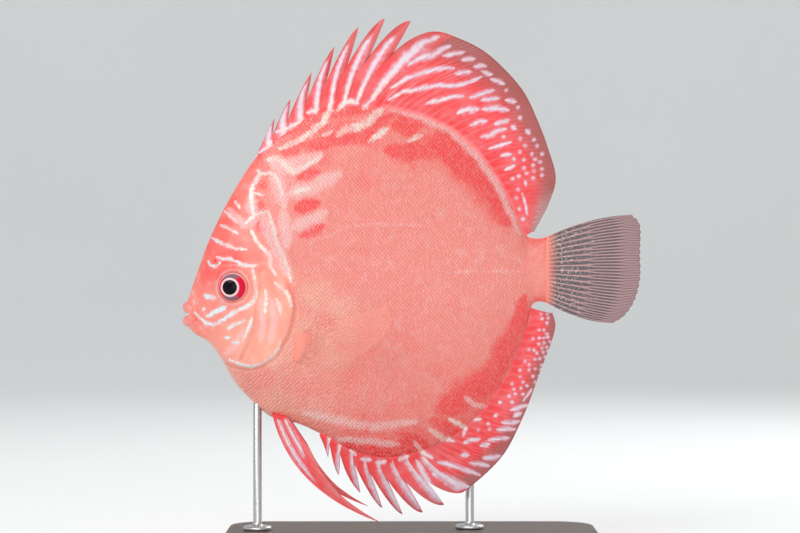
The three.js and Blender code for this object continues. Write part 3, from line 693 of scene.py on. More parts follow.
def ray_sheet(root, bend, tip, half, across):
    """A closed sheet: column by column a curve from root by way of bend to tip, and half the
    thickness to either side of it. half and across are functions of the share of the column
    and its length."""
    t = np.linspace(0, 1, FIN_ROWS)[None, :, None]
    xz = root[:, None] * (1 - t) ** 2 + 2 * bend[:, None] * t * (1 - t) + tip[:, None] * t**2
    share = np.broadcast_to(t[..., 0], xz.shape[:2])
    length = np.linalg.norm(tip - root, axis=1)[:, None]
    y, thick = across(share, length), half(share, length)
    front = np.stack([xz[..., 0], y - thick, xz[..., 1]], axis=-1)
    rear = np.stack([xz[..., 0], y + thick, xz[..., 1]], axis=-1)
    loop = np.concatenate([front, rear[:, ::-1]], axis=1)
    columns, around = loop.shape[:2]
    faces = [grid_faces(columns, around)]
    for first in (0, (columns - 1) * around):
        j = np.arange(FIN_ROWS - 1)
        other = around - 1 - j
        wall = np.stack([first + j, first + j + 1, first + other - 1, first + other], axis=-1)
        faces.append(wall[:, ::-1] if first == 0 else wall)
    both = np.concatenate([xz, xz[:, ::-1]], axis=1).reshape(-1, 2)
    shares = np.concatenate([share, share[:, ::-1]], axis=1).ravel()
    return loop.reshape(-1, 3), faces, both, shares


def per_point(columns):
    """A value for each column of a sheet, repeated for all of that column's points."""
    return np.repeat(columns, 2 * FIN_ROWS)


def branched_ray(phase, share):
    """The height of soft rays: one crest for each whole number of the phase, which splits in
    two and again in two towards the rim."""
    once = np.cos(np.pi * phase) ** 2
    twice = np.cos(2 * np.pi * phase + np.pi / 2) ** 2
    four = np.cos(4 * np.pi * phase + np.pi / 2) ** 2
    first, second = smooth(0.35, 0.6, share), smooth(0.7, 0.9, share)
    return once**3 * (1 - first) + (twice**2 * (1 - second) + four * second) * first


# %% The back fin and the belly fin
CURL = 0.1
ROOT_SUNK = 3.4
LOBE_COLUMNS = 30
SPINE_AT = 0.84
RAY_COLUMNS = 12
DORSAL = {
    "edge": back,
    "side": 1,
    "rim": outline(
        [(-51.5, 147.5), (-43.3, 157.8), (-27.7, 176.7), (-18.7, 184.0), (-9.3, 187.0)]
        + [(0.2, 185.9), (11.2, 182.1), (23.9, 176.4), (32.6, 169.2), (39.3, 161.2)]
        + [(44.0, 151.2), (47.6, 141.8), (50.4, 131.0), (47.8, 122.0), (42.8, 112.4)]
    ),
    "pair": through(
        [(0.298, 0), (0.364, 0.078), (0.438, 0.223), (0.495, 0.351), (0.53, 0.44), (0.56, 0.56)]
        + [(0.6, 0.625), (0.7, 0.72), (0.85, 0.878), (0.9, 0.925), (0.957, 1)]
    ),
    "lobes": 8,
    "lobe_edge": through([(0, 0.298), (4, 0.446), (8, 0.545)]),
    "notch": through([(0, 0.12), (3, 0.34), (8, 0.68)]),
    "to": 0.957,
    "rays": 26,
}
ANAL = {
    "edge": belly,
    "side": -1,
    "rim": outline(
        [(-31.6, 38.2), (-26.0, 27.7), (-18.7, 21.5), (-11.0, 15.9), (-3.3, 13.5), (4.3, 14.3)]
        + [(11.3, 17.0), (21.1, 23.7), (31.9, 34.1), (38.6, 46.9), (44.5, 62.2), (50.2, 79.4)]
        + [(49.2, 84.0)]
    ),
    "pair": through(
        [(0.352, 0), (0.395, 0.088), (0.445, 0.23), (0.504, 0.346), (0.558, 0.46), (0.59, 0.545)]
        + [(0.67, 0.65), (0.76, 0.755), (0.86, 0.895), (0.912, 0.96), (0.962, 1)]
    ),
    "lobes": 8,
    "lobe_edge": through([(0, 0.352), (4, 0.452), (8, 0.565)]),
    "notch": through([(0, 0.25), (4, 0.32), (8, 0.58)]),
    "to": 0.962,
    "rays": 24,
}
FIN_STREAKS = [
    (0.6, [(410, 52), (419, 44), (429, 41), (439, 37)]),
    (0.6, [(408, 65), (419, 58), (432, 56), (440, 50), (450, 46)]),
    (0.5, [(443, 56), (453, 54), (464, 52)]),
    (0.5, [(462, 60), (470, 59), (475, 59)]),
    (0.5, [(474, 67), (479, 66), (486, 66)]),
    (0.5, [(391, 88), (408, 78), (426, 72), (438, 69), (447, 68), (454, 68)]),
    (0.5, [(455, 74), (464, 72), (471, 72)]),
    (0.5, [(482, 71), (488, 74), (492, 74)]),
    (0.5, [(491, 79), (498, 81), (504, 84)]),
    (
        0.5,
        [(388, 100), (403, 92), (420, 89), (428, 87), (439, 85)]
        + [(449, 86), (460, 85), (470, 82), (481, 77)],
    ),
    (0.5, [(426, 104), (439, 100), (452, 97), (463, 96)]),
    (0.5, [(470, 98), (481, 94), (494, 90)]),
    (0.5, [(481, 100), (491, 99), (499, 98)]),
    (0.5, [(506, 100), (512, 101), (516, 102)]),
    (0.7, [(458, 113), (466, 110), (478, 109)]),
    (0.6, [(483, 109), (495, 108), (508, 110)]),
    (0.5, [(470, 126), (479, 122), (487, 121)]),
    (0.5, [(495, 124), (502, 122), (509, 120)]),
    (0.5, [(511, 126), (516, 129)]),
    (0.5, [(526, 130), (530, 134)]),
    (0.5, [(481, 137), (489, 136), (497, 131), (506, 129)]),
    (0.4, [(489, 149), (501, 145), (511, 142)]),
    (0.4, [(501, 156), (511, 154)]),
    (0.4, [(505, 170), (515, 165)]),
    (0.3, [(525, 180), (526, 186)]),
    (0.3, [(522, 193), (526, 206), (527, 215)]),
    (0.5, [(438, 462), (455, 466), (480, 475)]),
    (0.65, [(433, 474), (445, 476), (458, 483), (469, 487)]),
    (0.6, [(417, 461), (424, 474), (432, 491), (442, 501)]),
    (0.5, [(470, 463), (480, 464), (489, 466)]),
    (0.55, [(483, 458), (491, 458), (500, 456)]),
    (0.5, [(511, 410), (520, 407), (528, 405)]),
    (0.5, [(514, 416), (521, 413)]),
    (0.5, [(502, 422), (511, 423), (519, 421)]),
    (0.5, [(497, 430), (505, 429), (515, 429)]),
    (0.5, [(489, 440), (498, 439), (509, 438)]),
    (0.6, [(481, 446), (489, 444)]),
    (0.5, [(464, 443), (471, 440), (480, 439)]),
    (0.6, [(462, 455), (468, 455)]),
    (0.4, [(494, 416), (498, 414)]),
    (0.4, [(473, 420), (481, 419)]),
    (0.3, [(523, 401), (529, 393), (532, 389)]),
]
DORSAL_DOTS = [(506, 90), (518, 107), (520, 118), (504, 137), (520, 139), (534, 140), (537, 146), (525, 146)]
DORSAL_DOTS += [(520, 152), (532, 154), (542, 154), (514, 159), (524, 160), (535, 159), (540, 162)]
DORSAL_DOTS += [(533, 165), (524, 168), (534, 171), (542, 169), (527, 173), (519, 176), (513, 179)]
DORSAL_DOTS += [(533, 178), (518, 189), (542, 175), (516, 198), (519, 209), (523, 219)]
ANAL_DOTS = [(543, 307), (541, 314), (547, 314), (542, 319), (548, 318), (547, 323), (539, 330), (544, 330)]
ANAL_DOTS += [(547, 334), (533, 339), (539, 338), (544, 338), (548, 337), (539, 344), (544, 343), (550, 342)]
ANAL_DOTS += [(529, 350), (534, 350), (542, 348), (547, 347), (537, 353), (543, 352), (548, 351), (525, 361)]
ANAL_DOTS += [(535, 359), (540, 359), (545, 357), (529, 365), (520, 370), (529, 370), (535, 369), (542, 365)]
ANAL_DOTS += [(541, 370), (520, 377), (523, 382), (533, 376), (539, 376), (512, 384), (514, 389), (521, 388)]
ANAL_DOTS += [(527, 386), (535, 382), (509, 396), (515, 394), (523, 394), (500, 402), (512, 402), (488, 424)]
ANAL_DOTS += [(478, 430), (490, 429)]
STREAK_GROW = 2.3
DORSAL_DOT, ANAL_DOT = 0.95, 0.8
FIN_DOTS = [(DORSAL_DOT, [dot]) for dot in DORSAL_DOTS] + [(ANAL_DOT, [dot]) for dot in ANAL_DOTS]
EDGE_STEP = 0.004
LOBE_ROUND, RAY_CROWDING = 0.8, 1.15
SPINE_WIDE, FLAP_AT, FLAP_WIDE, FLAP_RAY = 0.075, 0.4, 0.05, 0.35
SPINY_DULL, SOFT_DULL = 0.3, 0.85
NO_LOBE = -1.0


def turned(run):
    """Vectors turned a quarter to the left."""
    return np.stack([-run[:, 1], run[:, 0]], axis=-1)


def outward(edge, share, side):
    """The unit vector square to an edge of the body, away from it."""
    run = edge(share + EDGE_STEP) - edge(share - EDGE_STEP)
    return turned(run / np.linalg.norm(run, axis=1)[:, None]) * side


def fringe(name, plan, sway, clear_from, replaced):
    """A fin along an edge of the body. Lobes rise to a point at each spine, as a power of a
    sine, and fall steeply behind it; the soft part reaches the rim all the way."""
    lobes, rays = plan["lobes"], plan["rays"]
    s = np.arange(lobes * LOBE_COLUMNS) / LOBE_COLUMNS
    lobe, within = np.floor(s), s % 1
    front = np.sin(np.pi / 2 * np.clip(within / SPINE_AT, 0, 1)) ** LOBE_ROUND
    rise = plan["notch"](lobe) + (1 - plan["notch"](lobe)) * front
    behind = np.clip((within - SPINE_AT) / (1 - SPINE_AT), 0, 1)
    fall = 1 + (plan["notch"](lobe + 1) - 1) * behind * (lobe < lobes - 1)
    f = np.arange(rays * RAY_COLUMNS + 1) / RAY_COLUMNS
    begin = plan["lobe_edge"](lobes)
    soft_part = begin + (plan["to"] - begin) * (f / rays) ** RAY_CROWDING
    share = np.r_[plan["lobe_edge"](s), soft_part]
    reach = np.r_[np.minimum(rise, fall), np.ones(len(f))]
    edge, side = plan["edge"], plan["side"]
    at = edge(share)
    tip = at + (plan["rim"](plan["pair"](share)) - at) * reach[:, None]
    run = tip - at
    bend = at + run / 2 + turned(run) * side * CURL
    root = at - outward(edge, share, side) * ROOT_SUNK
    spiny = np.arange(len(share)) < len(s)
    crest = bump(within - SPINE_AT, SPINE_WIDE) + FLAP_RAY * bump(within - FLAP_AT, FLAP_WIDE)
    spine, phase = np.r_[crest, np.zeros(len(f))], np.r_[np.zeros(len(s)), f]

    def thickness(t, length):
        beyond = t * length - ROOT_SUNK
        soft = branched_ray(phase[:, None], t) * (0.34 - 0.2 * t)
        ridge = spine[:, None] * (0.5 - 0.36 * t)
        flesh = np.minimum(FILLET * np.exp(-beyond / FILLET_LENGTH), FILLET_MOST)
        raised = np.where(spiny[:, None], ridge, soft) * smooth(-0.5, 4, beyond)
        return MEMBRANE / 2 * (1 - 0.4 * t) + flesh + raised

    def across(t, length):
        return sway * np.sin(share[:, None] * 31 + 0.7) * t**1.6 * smooth(4, 16, length)

    points, faces, xz, t = ray_sheet(root, bend, tip, thickness, across)
    where = per_point(np.r_[within, np.full(len(f), NO_LOBE)])
    number = per_point(np.r_[lobe, np.full(len(f), lobes)])
    spiny = per_point(spiny)
    pale = marks(xz, grown(FIN_STREAKS, STREAK_GROW) + FIN_DOTS + BACK_PATCHES)
    masks = {
        "pale": np.maximum(pale, np.where(spiny, lobe_streak(plan, where, t, number), -1)),
        "ray": np.where(spiny, per_point(spine), branched_ray(per_point(phase), t)),
        "t": t,
        "clear": smooth(*clear_from, per_point(share)) * smooth(0.3, 0.85, t),
        "veil": smooth(-0.9, 0.7, marks(xz, PALE_VEILS)),
        "dull": np.where(spiny, SPINY_DULL, SOFT_DULL),
    }
    make_piece(name, points, faces, replaced, masks)


def lobe_streak(plan, where, t, number):
    """The pale streak up the rear half of a lobe: wide on the back's, where the small front
    lobes are pale nearly all over, and narrow and near the rear edge on the belly's."""
    if plan["side"] > 0:
        small = 1 - smooth(0.5, 3.5, number)
        middle = 0.6 + 0.14 * t - 0.08 * small
        wide = 0.25 + 0.1 * small
        length = smooth(0.0, 0.12, t) * (1 - smooth(0.72, 0.9, t - 0.1 * small))
    else:
        middle, wide = 0.82 + 0.06 * t, 0.24
        length = smooth(0.1, 0.22, t) * (1 - smooth(0.93, 1.0, t))
    return (1 - np.abs(where - middle) / wide) * length - (1 - length)


fringe("dorsal_fin", DORSAL, 0.9, (0.84, 0.93), ["dorsal_fin_spiny", "dorsal_fin_soft"])
fringe("anal_fin", ANAL, 0.7, (0.93, 1.0), ["anal_fin_spiny", "anal_fin_soft"])

# %% The tail fin
TAIL_ROOT = 46.8
TAIL_TOP, TAIL_BOTTOM = 110.4, 87.7
TAIL_RAYS = 18
TAIL_BOW, TAIL_SCALLOP = 3.4, 0.005
TAIL_LEAN, TAIL_RIPPLE, TAIL_RIPPLES = 1.6, 0.5, 9
tail_edge = outline(
    [(77.2, 118.4), (79.9, 115.4), (80.1, 105), (79.9, 94.8)]
    + [(77.7, 87.3), (74.2, 82.6), (70.6, 80.4)]
)
f = np.linspace(0, 1, TAIL_RAYS * RAY_COLUMNS + 1)
root = np.stack([np.full(len(f), TAIL_ROOT), TAIL_TOP + (TAIL_BOTTOM - TAIL_TOP) * f], axis=-1)
scallop = TAIL_SCALLOP * np.cos(2 * np.pi * f * TAIL_RAYS)
tip = root + (tail_edge(f) - root) * (1 + scallop - TAIL_SCALLOP)[:, None]
bend = (root + tip) / 2 + np.stack([np.zeros(len(f)), TAIL_BOW * (1 - 2 * f)], axis=-1)
phase = (f * TAIL_RAYS)[:, None]


def tail_half(t, length):
    """Half the tail fin's thickness: the stalk's at the root, then membrane and rays."""
    flesh = half_width(np.ones(len(f)), 1 - f)[:, None] * (1 - smooth(0, ROOT_FADE + 1, t * length))
    rays = branched_ray(phase, t) * (0.36 - 0.22 * t) * smooth(0.02, 0.12, t)
    return np.maximum(flesh, MEMBRANE / 2 * (1 - 0.4 * t) + rays)


def tail_sway(t, length):
    """The tail fin bends a little to the right and ripples along its rays."""
    return TAIL_LEAN * t**2 + TAIL_RIPPLE * np.sin(f * TAIL_RIPPLES)[:, None] * t


def clear_masks(phase, t, base):
    """The masks of a clear fin: its rays, the share of their length, and its fleshy base."""
    return {"ray": branched_ray(per_point(phase), t), "t": t, "base": 1 - smooth(*base, t)}


points, faces, _, t = ray_sheet(root, bend, tip, tail_half, tail_sway)
masks = clear_masks(f * TAIL_RAYS, t, (0.0, 0.15))
make_piece("tail_fin", points, faces, ["caudal_fin"], masks)

# %% The breast fins and the belly fins
BREAST_TOP, BREAST_BOTTOM = np.array([-40.6, 76.4]), np.array([-40.8, 67.6])
breast_edge = outline(
    [(-8.3, 87.3), (-6.9, 81.8), (-9.4, 76.3), (-15.3, 71.2), (-23.4, 68.0), (-30.4, 66.6)]
)
BREAST_RAYS = 13
BREAST_SUNK = 1.0
BREAST_SCALLOP = 0.01
BREAST_FLESH, BREAST_CUPPED = 1.45, 0.1
BREAST_RIPPLE, BREAST_RIPPLES = 0.35, 7


def breast_fin(name, side, turn_out):
    """A clear fan on a fleshy stalk, standing out and back from the flank."""
    f = np.linspace(0, 1, BREAST_RAYS * RAY_COLUMNS + 1)
    root = BREAST_TOP + (BREAST_BOTTOM - BREAST_TOP) * f[:, None]
    scallop = BREAST_SCALLOP * np.cos(2 * np.pi * f * BREAST_RAYS)
    tip = root + (breast_edge(f) - root) * (1 + scallop)[:, None]
    bend = (root + tip) / 2
    phase = (f * BREAST_RAYS)[:, None]
    start = half_width(*place_of(((BREAST_TOP + BREAST_BOTTOM) / 2)[None]))[0] - BREAST_SUNK

    def half(t, length):
        oval = BREAST_FLESH * np.sin(np.pi * (0.12 + 0.76 * f))[:, None]
        flesh = oval * (1 - smooth(0.5, ROOT_FADE, t * length))
        return np.maximum(flesh, 0.13 + branched_ray(phase, t) * (0.22 - 0.14 * t))

    def across(t, length):
        wave = BREAST_RIPPLE * np.sin(f * BREAST_RIPPLES)[:, None] * t
        return side * (start + length * t * (turn_out - BREAST_CUPPED * t) + wave)

    points, faces, _, t = ray_sheet(root, bend, tip, half, across)
    masks = clear_masks(f * BREAST_RAYS, t, (0.04, 0.3))
    make_piece(name, points, faces, [name], masks)


BELLY_ROOT = np.array([[-48.8, 49.2], [-43.4, 48.0]])
BELLY_BEND = np.array([-42.6, 22.0])
BELLY_APART = 2.3
BELLY_RAYS, BELLY_BRANCHING = 6, 0.5
BELLY_FLESH = 0.7
BELLY_STREAKS = [(0.3, 0.2), (0.75, 0.16)]
BELLY_VEIL = 0.6
belly_fin_edge = outline([(-10.5, 11.0), (-17.6, 15.2), (-24.5, 20.4), (-31.4, 28.6), (-36.0, 37.0)])


def belly_fin(name, side, long, turn_out):
    """A narrow fin of a few strong rays, the first of which ends in a thread."""
    f = np.linspace(0, 1, BELLY_RAYS * RAY_COLUMNS + 1)
    root = BELLY_ROOT[0] + (BELLY_ROOT[1] - BELLY_ROOT[0]) * f[:, None]
    tip = root + (belly_fin_edge(f) - root) * long
    front = root + (BELLY_BEND - root) * long
    bend = front + ((root + tip) / 2 - front) * f[:, None]
    phase = (f * BELLY_RAYS)[:, None]

    def half(t, length):
        flesh = BELLY_FLESH * (1 - smooth(0, ROOT_FADE + 3, t * length))
        return 0.16 + flesh + branched_ray(phase, t * BELLY_BRANCHING) * (0.34 - 0.22 * t)

    def across(t, length):
        return side * (BELLY_APART + turn_out * length * t)

    points, faces, _, t = ray_sheet(root, bend, tip, half, across)
    place = per_point(f)
    streaks = np.max([1 - np.abs(place - at) / wide for at, wide in BELLY_STREAKS], axis=0)
    length = smooth(0.0, 0.06, t) * (1 - smooth(0.5, 0.72, t))
    masks = {
        "ray": branched_ray(place * BELLY_RAYS, t * BELLY_BRANCHING),
        "t": t,
        "pale": streaks * length - (1 - length),
        "clear": 0,
        "veil": BELLY_VEIL * smooth(0.6, 1.0, t),
        "dull": 0,
    }
    make_piece(name, points, faces, [name], masks)


breast_fin("pectoral_fin_left", -1, 0.5)
belly_fin("pelvic_fin_left", -1, 1, 0.06)
breast_fin("pectoral_fin_right", 1, 0.42)
belly_fin("pelvic_fin_right", 1, 0.88, 0.1)

# %% [markdown]
# ## Eyes
#
# A fish's eye is a flattened ball with a round pupil, no lids, and a clear front that
# catches a bright spot. A ball with a glossy coat is enough, since the pupil and iris are
# painted by the distance from its axis. It sits in the socket that the skin's relief leaves.

# %% The eyes
EYE_DEPTH = 3.4
EYE_SUNK = 1.6
EYE_FORWARD = 0.12
PUPIL_SHIFT = 0.7
EYE_SIDES = 96


def eye(name, side):
    """Rings round the eye's axis, from the middle of its front to the middle of its back."""
    polar = np.linspace(0, np.pi, EYE_SIDES + 1)[1:-1]
    turn = np.linspace(0, 2 * np.pi, EYE_SIDES, endpoint=False)
    a, b = (grid.ravel() for grid in np.meshgrid(polar, turn, indexing="ij"))
    radial = EYE_RADIUS * np.sin(a)
    local = np.stack([radial * np.cos(b), -EYE_DEPTH * np.cos(a), radial * np.sin(b)], axis=-1)
    local = np.vstack([local, [[0, -EYE_DEPTH, 0], [0, EYE_DEPTH, 0]]])
    cos, sin = np.cos(EYE_FORWARD), np.sin(EYE_FORWARD)
    x = local[:, 0] * cos + local[:, 1] * sin
    y = local[:, 1] * cos - local[:, 0] * sin
    out = half_width(*place_of(EYE_AT[None]))[0] - EYE_SUNK
    points = np.stack([EYE_AT[0] + x, -side * (y - out), EYE_AT[1] + local[:, 2]], axis=-1)
    from_pupil = local[:, 0] + PUPIL_SHIFT
    masks = {
        "away": np.hypot(from_pupil, local[:, 2]),
        "level": np.cos(np.arctan2(local[:, 2], from_pupil)) ** 2,
        "edge": np.hypot(local[:, 0], local[:, 2]),
    }
    make_piece(name, points, tube_faces(len(polar), len(turn)), [name], masks)


eye("eye_left", -1)
eye("eye_right", 1)

# %% [markdown]
# ## Lips
#
# The mouth is small and its lips are thick rolls. They are separate pieces because the fold
# where a lip meets the snout is a real crease. Each is a tapering section carried round half
# a circle, from one corner of the mouth to the other.

# %% The lips
LIP_REACH, LIP_DEPTH, LIP_ENDS = 3.1, 3.2, 0.55
LIP_FRONT = -78.4
LIP_STEPS, LIP_SIDES = 90, 48
CREASE, CREASES = 0.035, 17
LIP_MASKS = {"pale": -1.0, "veil": 0.35, "red": 0.3, "peach": 0.3, "cool": 1.0}


def lip(name, height, thick, tall, droop):
    """An oval carried round the front of the jaw, with fine creases across it."""
    turn = np.linspace(-np.pi / 2, np.pi / 2, LIP_STEPS)
    around = np.linspace(0, 2 * np.pi, LIP_SIDES, endpoint=False)
    a, b = (grid.ravel() for grid in np.meshgrid(turn, around, indexing="ij"))
    inward = 1 - np.cos(a)
    size = 1 + (LIP_ENDS - 1) * inward
    crease = 1 - CREASE * np.abs(np.sin(a * CREASES)) ** 6
    out = thick * size * crease * np.cos(b)
    x = LIP_FRONT + LIP_DEPTH * inward - out * np.cos(a)
    y = (LIP_REACH + out) * np.sin(a)
    z = height - droop * inward + tall * size * crease * np.sin(b)
    points = with_ends(np.stack([x, y, z], axis=-1), LIP_SIDES)
    make_piece(name, points, tube_faces(LIP_STEPS, LIP_SIDES), [name], LIP_MASKS)


lip("upper_lip", 86.0, 1.7, 2.05, 1.5)
lip("lower_lip", 81.1, 1.75, 1.9, -0.9)

# %% [markdown]
# ## The stand
#
# A swimming fish needs something under it. Museums use a plain slab with one or two thin
# rods, and keep them dull so that the eye stays on the animal. The slab is a rounded
# rectangle carried up a profile with a soft top edge, and the rods are turned on a lathe.

# %% Slab and rods
BASE = {"length": 130, "width": 64, "height": 8, "corner": 14, "bevel": 1}
ROD_RADIUS = 1.5


def rounded_rectangle(inset, per_corner=24):
    """Points round a rectangle with round corners, drawn in by inset."""
    r = BASE["corner"] - inset
    x, y = BASE["length"] / 2 - BASE["corner"], BASE["width"] / 2 - BASE["corner"]
    turn = np.linspace(0, np.pi / 2, per_corner)
    parts = []
    for k, (cx, cy) in enumerate([(x, y), (-x, y), (-x, -y), (x, -y)]):
        angle = turn + k * np.pi / 2
        parts.append(np.stack([cx + r * np.cos(angle), cy + r * np.sin(angle)], axis=-1))
    return np.vstack(parts)


def stack_rings(name, rings):
    """A closed body through rings of equal point counts, with a fan over each end."""
    n = len(rings[0])
    make_piece(name, with_ends(np.vstack(rings), n), tube_faces(len(rings), n), [name])


def slab_rings():
    """The slab's outline at each height: a small chamfer below and a round edge above."""
    top, soft = BASE["height"], BASE["bevel"]
    steps = [(8.0, 0.0), (0.5, 0.0), (0.15, 0.15), (0.0, 0.5), (0.0, top - soft - 0.05)]
    for angle in np.linspace(0, np.pi / 2, 9):
        steps.append((soft * (1 - np.cos(angle)), top - soft + soft * np.sin(angle)))
    steps += [(soft + 0.4, top), (8.0, top)]
    rings = []
    for inset, height in steps:
        line = rounded_rectangle(inset)
        rings.append(np.column_stack([line, np.full(len(line), height)]))
    return rings


def rod_rings(x, y, top):
    """A rod on a small round foot, turned on a lathe: a ring for each (radius, height)."""
    foot = BASE["height"]
    profile = [(4.6, foot), (4.9, foot + 0.15), (5.0, foot + 0.5), (5.0, foot + 1.0)]
    profile += [(4.8, foot + 1.35), (4.2, foot + 1.55), (2.2, foot + 1.6), (1.75, foot + 1.9)]
    profile += [(ROD_RADIUS, foot + 2.6), (ROD_RADIUS, top - 0.3), (ROD_RADIUS - 0.3, top)]
    turn = np.linspace(0, 2 * np.pi, 48, endpoint=False)
    return [
        np.column_stack([x + r * np.cos(turn), y + r * np.sin(turn), np.full(len(turn), h)])
        for r, h in profile
    ]


stack_rings("stand_base", slab_rings())
stack_rings("stand_rod_front", rod_rings(-54.0, 0, 52.6))
stack_rings("stand_rod_rear", rod_rings(20.4, 4.6, 60))

# %% [markdown]
# ## Paint
#
# One group of nodes mixes the skin's colours from its masks, and is placed in the skin, the
# scales and the lips alike. Writing the same nodes three times would let the colours drift
# apart. Noise breaks the edges of each mark, as pigment cells do.

# %% Node helpers
SALMON = (0.95, 0.235, 0.19, 1)
PEACH = (0.97, 0.42, 0.3, 1)
RED = (0.97, 0.035, 0.035, 1)
CREAM = (0.93, 0.74, 0.66, 1)
ICE = (0.64, 0.82, 0.87, 1)
VEIL = (0.96, 0.52, 0.51, 1)
DUSK = (0.45, 0.16, 0.15, 1)
LAVENDER = (0.72, 0.34, 0.42, 1)


class Nodes:
    """Short names for making and joining shader nodes in one tree."""

    def __init__(self, tree):
        self.tree = tree

    def add(self, kind, **inputs):
        """A node with its inputs set, or joined where a socket is given."""
        node = self.tree.nodes.new("ShaderNode" + kind)
        for key, value in inputs.items():
            self.set(node.inputs[key.replace("_", " ")], value)
        return node

    def set(self, socket, value):
        if isinstance(value, bpy.types.NodeSocket):
            self.tree.links.new(value, socket)
        else:
            socket.default_value = value

    def mask(self, name):
        """A named number that is stored on the mesh's points."""
        node = self.tree.nodes.new("ShaderNodeAttribute")
        node.attribute_name = name
        return node.outputs["Fac"]

    def math(self, operation, *values, clamp=False):
        node = self.tree.nodes.new("ShaderNodeMath")
        node.operation = operation
        node.use_clamp = clamp
        for socket, value in zip(node.inputs, values):
            self.set(socket, value)
        return node.outputs[0]

    def times(self, a, b):
        return self.math("MULTIPLY", a, b)

    def plus(self, a, b):
        return self.math("ADD", a, b)

    def less(self, a, b):
        return self.math("SUBTRACT", a, b)

    def wander(self, noise, amount):
        """Noise that swings about nothing: less a half, and times an amount."""
        return self.times(self.less(noise, 0.5), amount)

    def ramp(self, value, low, high):
        """0 below low, 1 above high, with soft ends."""
        node = self.tree.nodes.new("ShaderNodeMapRange")
        node.interpolation_type = "SMOOTHSTEP"
        for key, number in (("Value", value), ("From Min", low), ("From Max", high)):
            self.set(node.inputs[key], number)
        return node.outputs["Result"]

    def blend(self, share, a, b):
        """Colour a, with a share of it replaced by colour b."""
        node = self.tree.nodes.new("ShaderNodeMix")
        node.data_type = "RGBA"
        for socket, value in zip((node.inputs[0], node.inputs[6], node.inputs[7]), (share, a, b)):
            self.set(socket, value)
        return node.outputs[2]

    def noise(self, scale, detail=3.0, stretch=None):
        """Cloudy noise in the object's own metres."""
        place = self.tree.nodes.new("ShaderNodeTexCoord").outputs["Object"]
        if stretch is not None:
            mapping = self.tree.nodes.new("ShaderNodeMapping")
            self.tree.links.new(place, mapping.inputs["Vector"])
            mapping.inputs["Scale"].default_value = stretch
            place = mapping.outputs["Vector"]
        node = self.add("TexNoise", Scale=scale, Detail=detail)
        self.tree.links.new(place, node.inputs["Vector"])
        return node.outputs["Fac"]

    def cells(self, scale):
        """The distance from the middle of scattered round cells."""
        place = self.tree.nodes.new("ShaderNodeTexCoord").outputs["Object"]
        node = self.add("TexVoronoi", Scale=scale)
        self.tree.links.new(place, node.inputs["Vector"])
        return node.outputs["Distance"]


def group(name, inputs, outputs, build):
    """A node group with named number inputs and outputs of a given kind."""
    tree = bpy.data.node_groups.new(name, "ShaderNodeTree")
    for key, value in inputs.items():
        socket = tree.interface.new_socket(name=key, in_out="INPUT", socket_type="NodeSocketFloat")
        socket.default_value = value
    for key, kind in outputs.items():
        tree.interface.new_socket(name=key, in_out="OUTPUT", socket_type="NodeSocket" + kind)
    enter, leave = tree.nodes.new("NodeGroupInput"), tree.nodes.new("NodeGroupOutput")
    for key, socket in build(Nodes(tree), enter.outputs).items():
        tree.links.new(socket, leave.inputs[key])
    return tree


def place_group(nodes, tree, **inputs):
    """A group in a material, with its inputs joined or set. An underscore is a space."""
    node = nodes.tree.nodes.new("ShaderNodeGroup")
    node.node_tree = tree
    for key, value in inputs.items():
        nodes.set(node.inputs[key.replace("_", " ")], value)
    return node.outputs


def material(name, build, **plain):
    """A material: plain numbers go on the shader's own sockets, and build returns the
    sockets that change over the surface."""
    made = bpy.data.materials.new(name)
    made.use_nodes = True
    nodes = Nodes(made.node_tree)
    shader = made.node_tree.nodes["Principled BSDF"]
    for key, value in plain.items():
        shader.inputs[key.replace("_", " ")].default_value = value
    for key, socket in build(nodes).items():
        made.node_tree.links.new(socket, shader.inputs[key])
    return made


# %% The fish's paint
def mix_fish_paint(n, given):
    """Salmon, warmed by orange, deepened by red, veiled, mottled where it isn't red, dulled
    on the head by dusk, then marked in cream or, on the head, ice blue."""
    cloud = n.noise(90, 4)
    fine = n.noise(330, 4)
    peach = n.times(given["Peach"], n.ramp(cloud, 0.2, 0.65))
    colour = n.blend(peach, SALMON, PEACH)
    broken = n.plus(given["Red"], n.wander(cloud, 1.5))
    red = n.times(n.ramp(broken, 0.0, 1.0), 0.95)
    colour = n.blend(red, colour, RED)
    veil = n.plus(given["Veil"], n.wander(fine, 1.6))
    veil = n.times(n.ramp(veil, 0.0, 1.2), 0.68)
    colour = n.blend(veil, colour, VEIL)
    spread = n.plus(n.times(given["Cool"], 0.35), 0.22)
    mottle = n.times(n.ramp(n.noise(260, 3), 0.5, 0.75), spread)
    mottle = n.times(mottle, n.less(1.0, red))
    colour = n.blend(mottle, colour, VEIL)
    colour = n.blend(n.times(given["Cool"], 0.17), colour, DUSK)
    ragged = n.plus(given["Pale"], n.wander(n.noise(900, 4), given["Ragged"]))
    mark = n.times(n.ramp(ragged, -0.3, 0.65), 0.92)
    faded = n.plus(0.55, n.times(n.ramp(n.noise(190, 3), 0.38, 0.58), 0.45))
    mark = n.times(mark, faded)
    tint = n.blend(given["Cool"], CREAM, ICE)
    return {"Color": n.blend(mark, colour, tint)}


fish_paint = group(
    "fish_paint",
    {"Pale": -1, "Veil": 0, "Red": 0, "Peach": 0, "Cool": 0, "Ragged": 0.8},
    {"Color": "Color"},
    mix_fish_paint,
)


def mix_wet_grain(n, given):
    """Roughness that wanders, and a fine leathery height."""
    broad, fine = n.noise(140, 3), n.noise(1500, 3)
    pores = n.cells(1100)
    rough = n.plus(given["Roughness"], n.wander(broad, 0.25))
    height = n.plus(n.times(fine, 0.3), n.times(broad, 0.5))
    height = n.plus(height, n.times(n.ramp(pores, 0.0, 0.6), 0.45))
    return {"Roughness": rough, "Height": height}


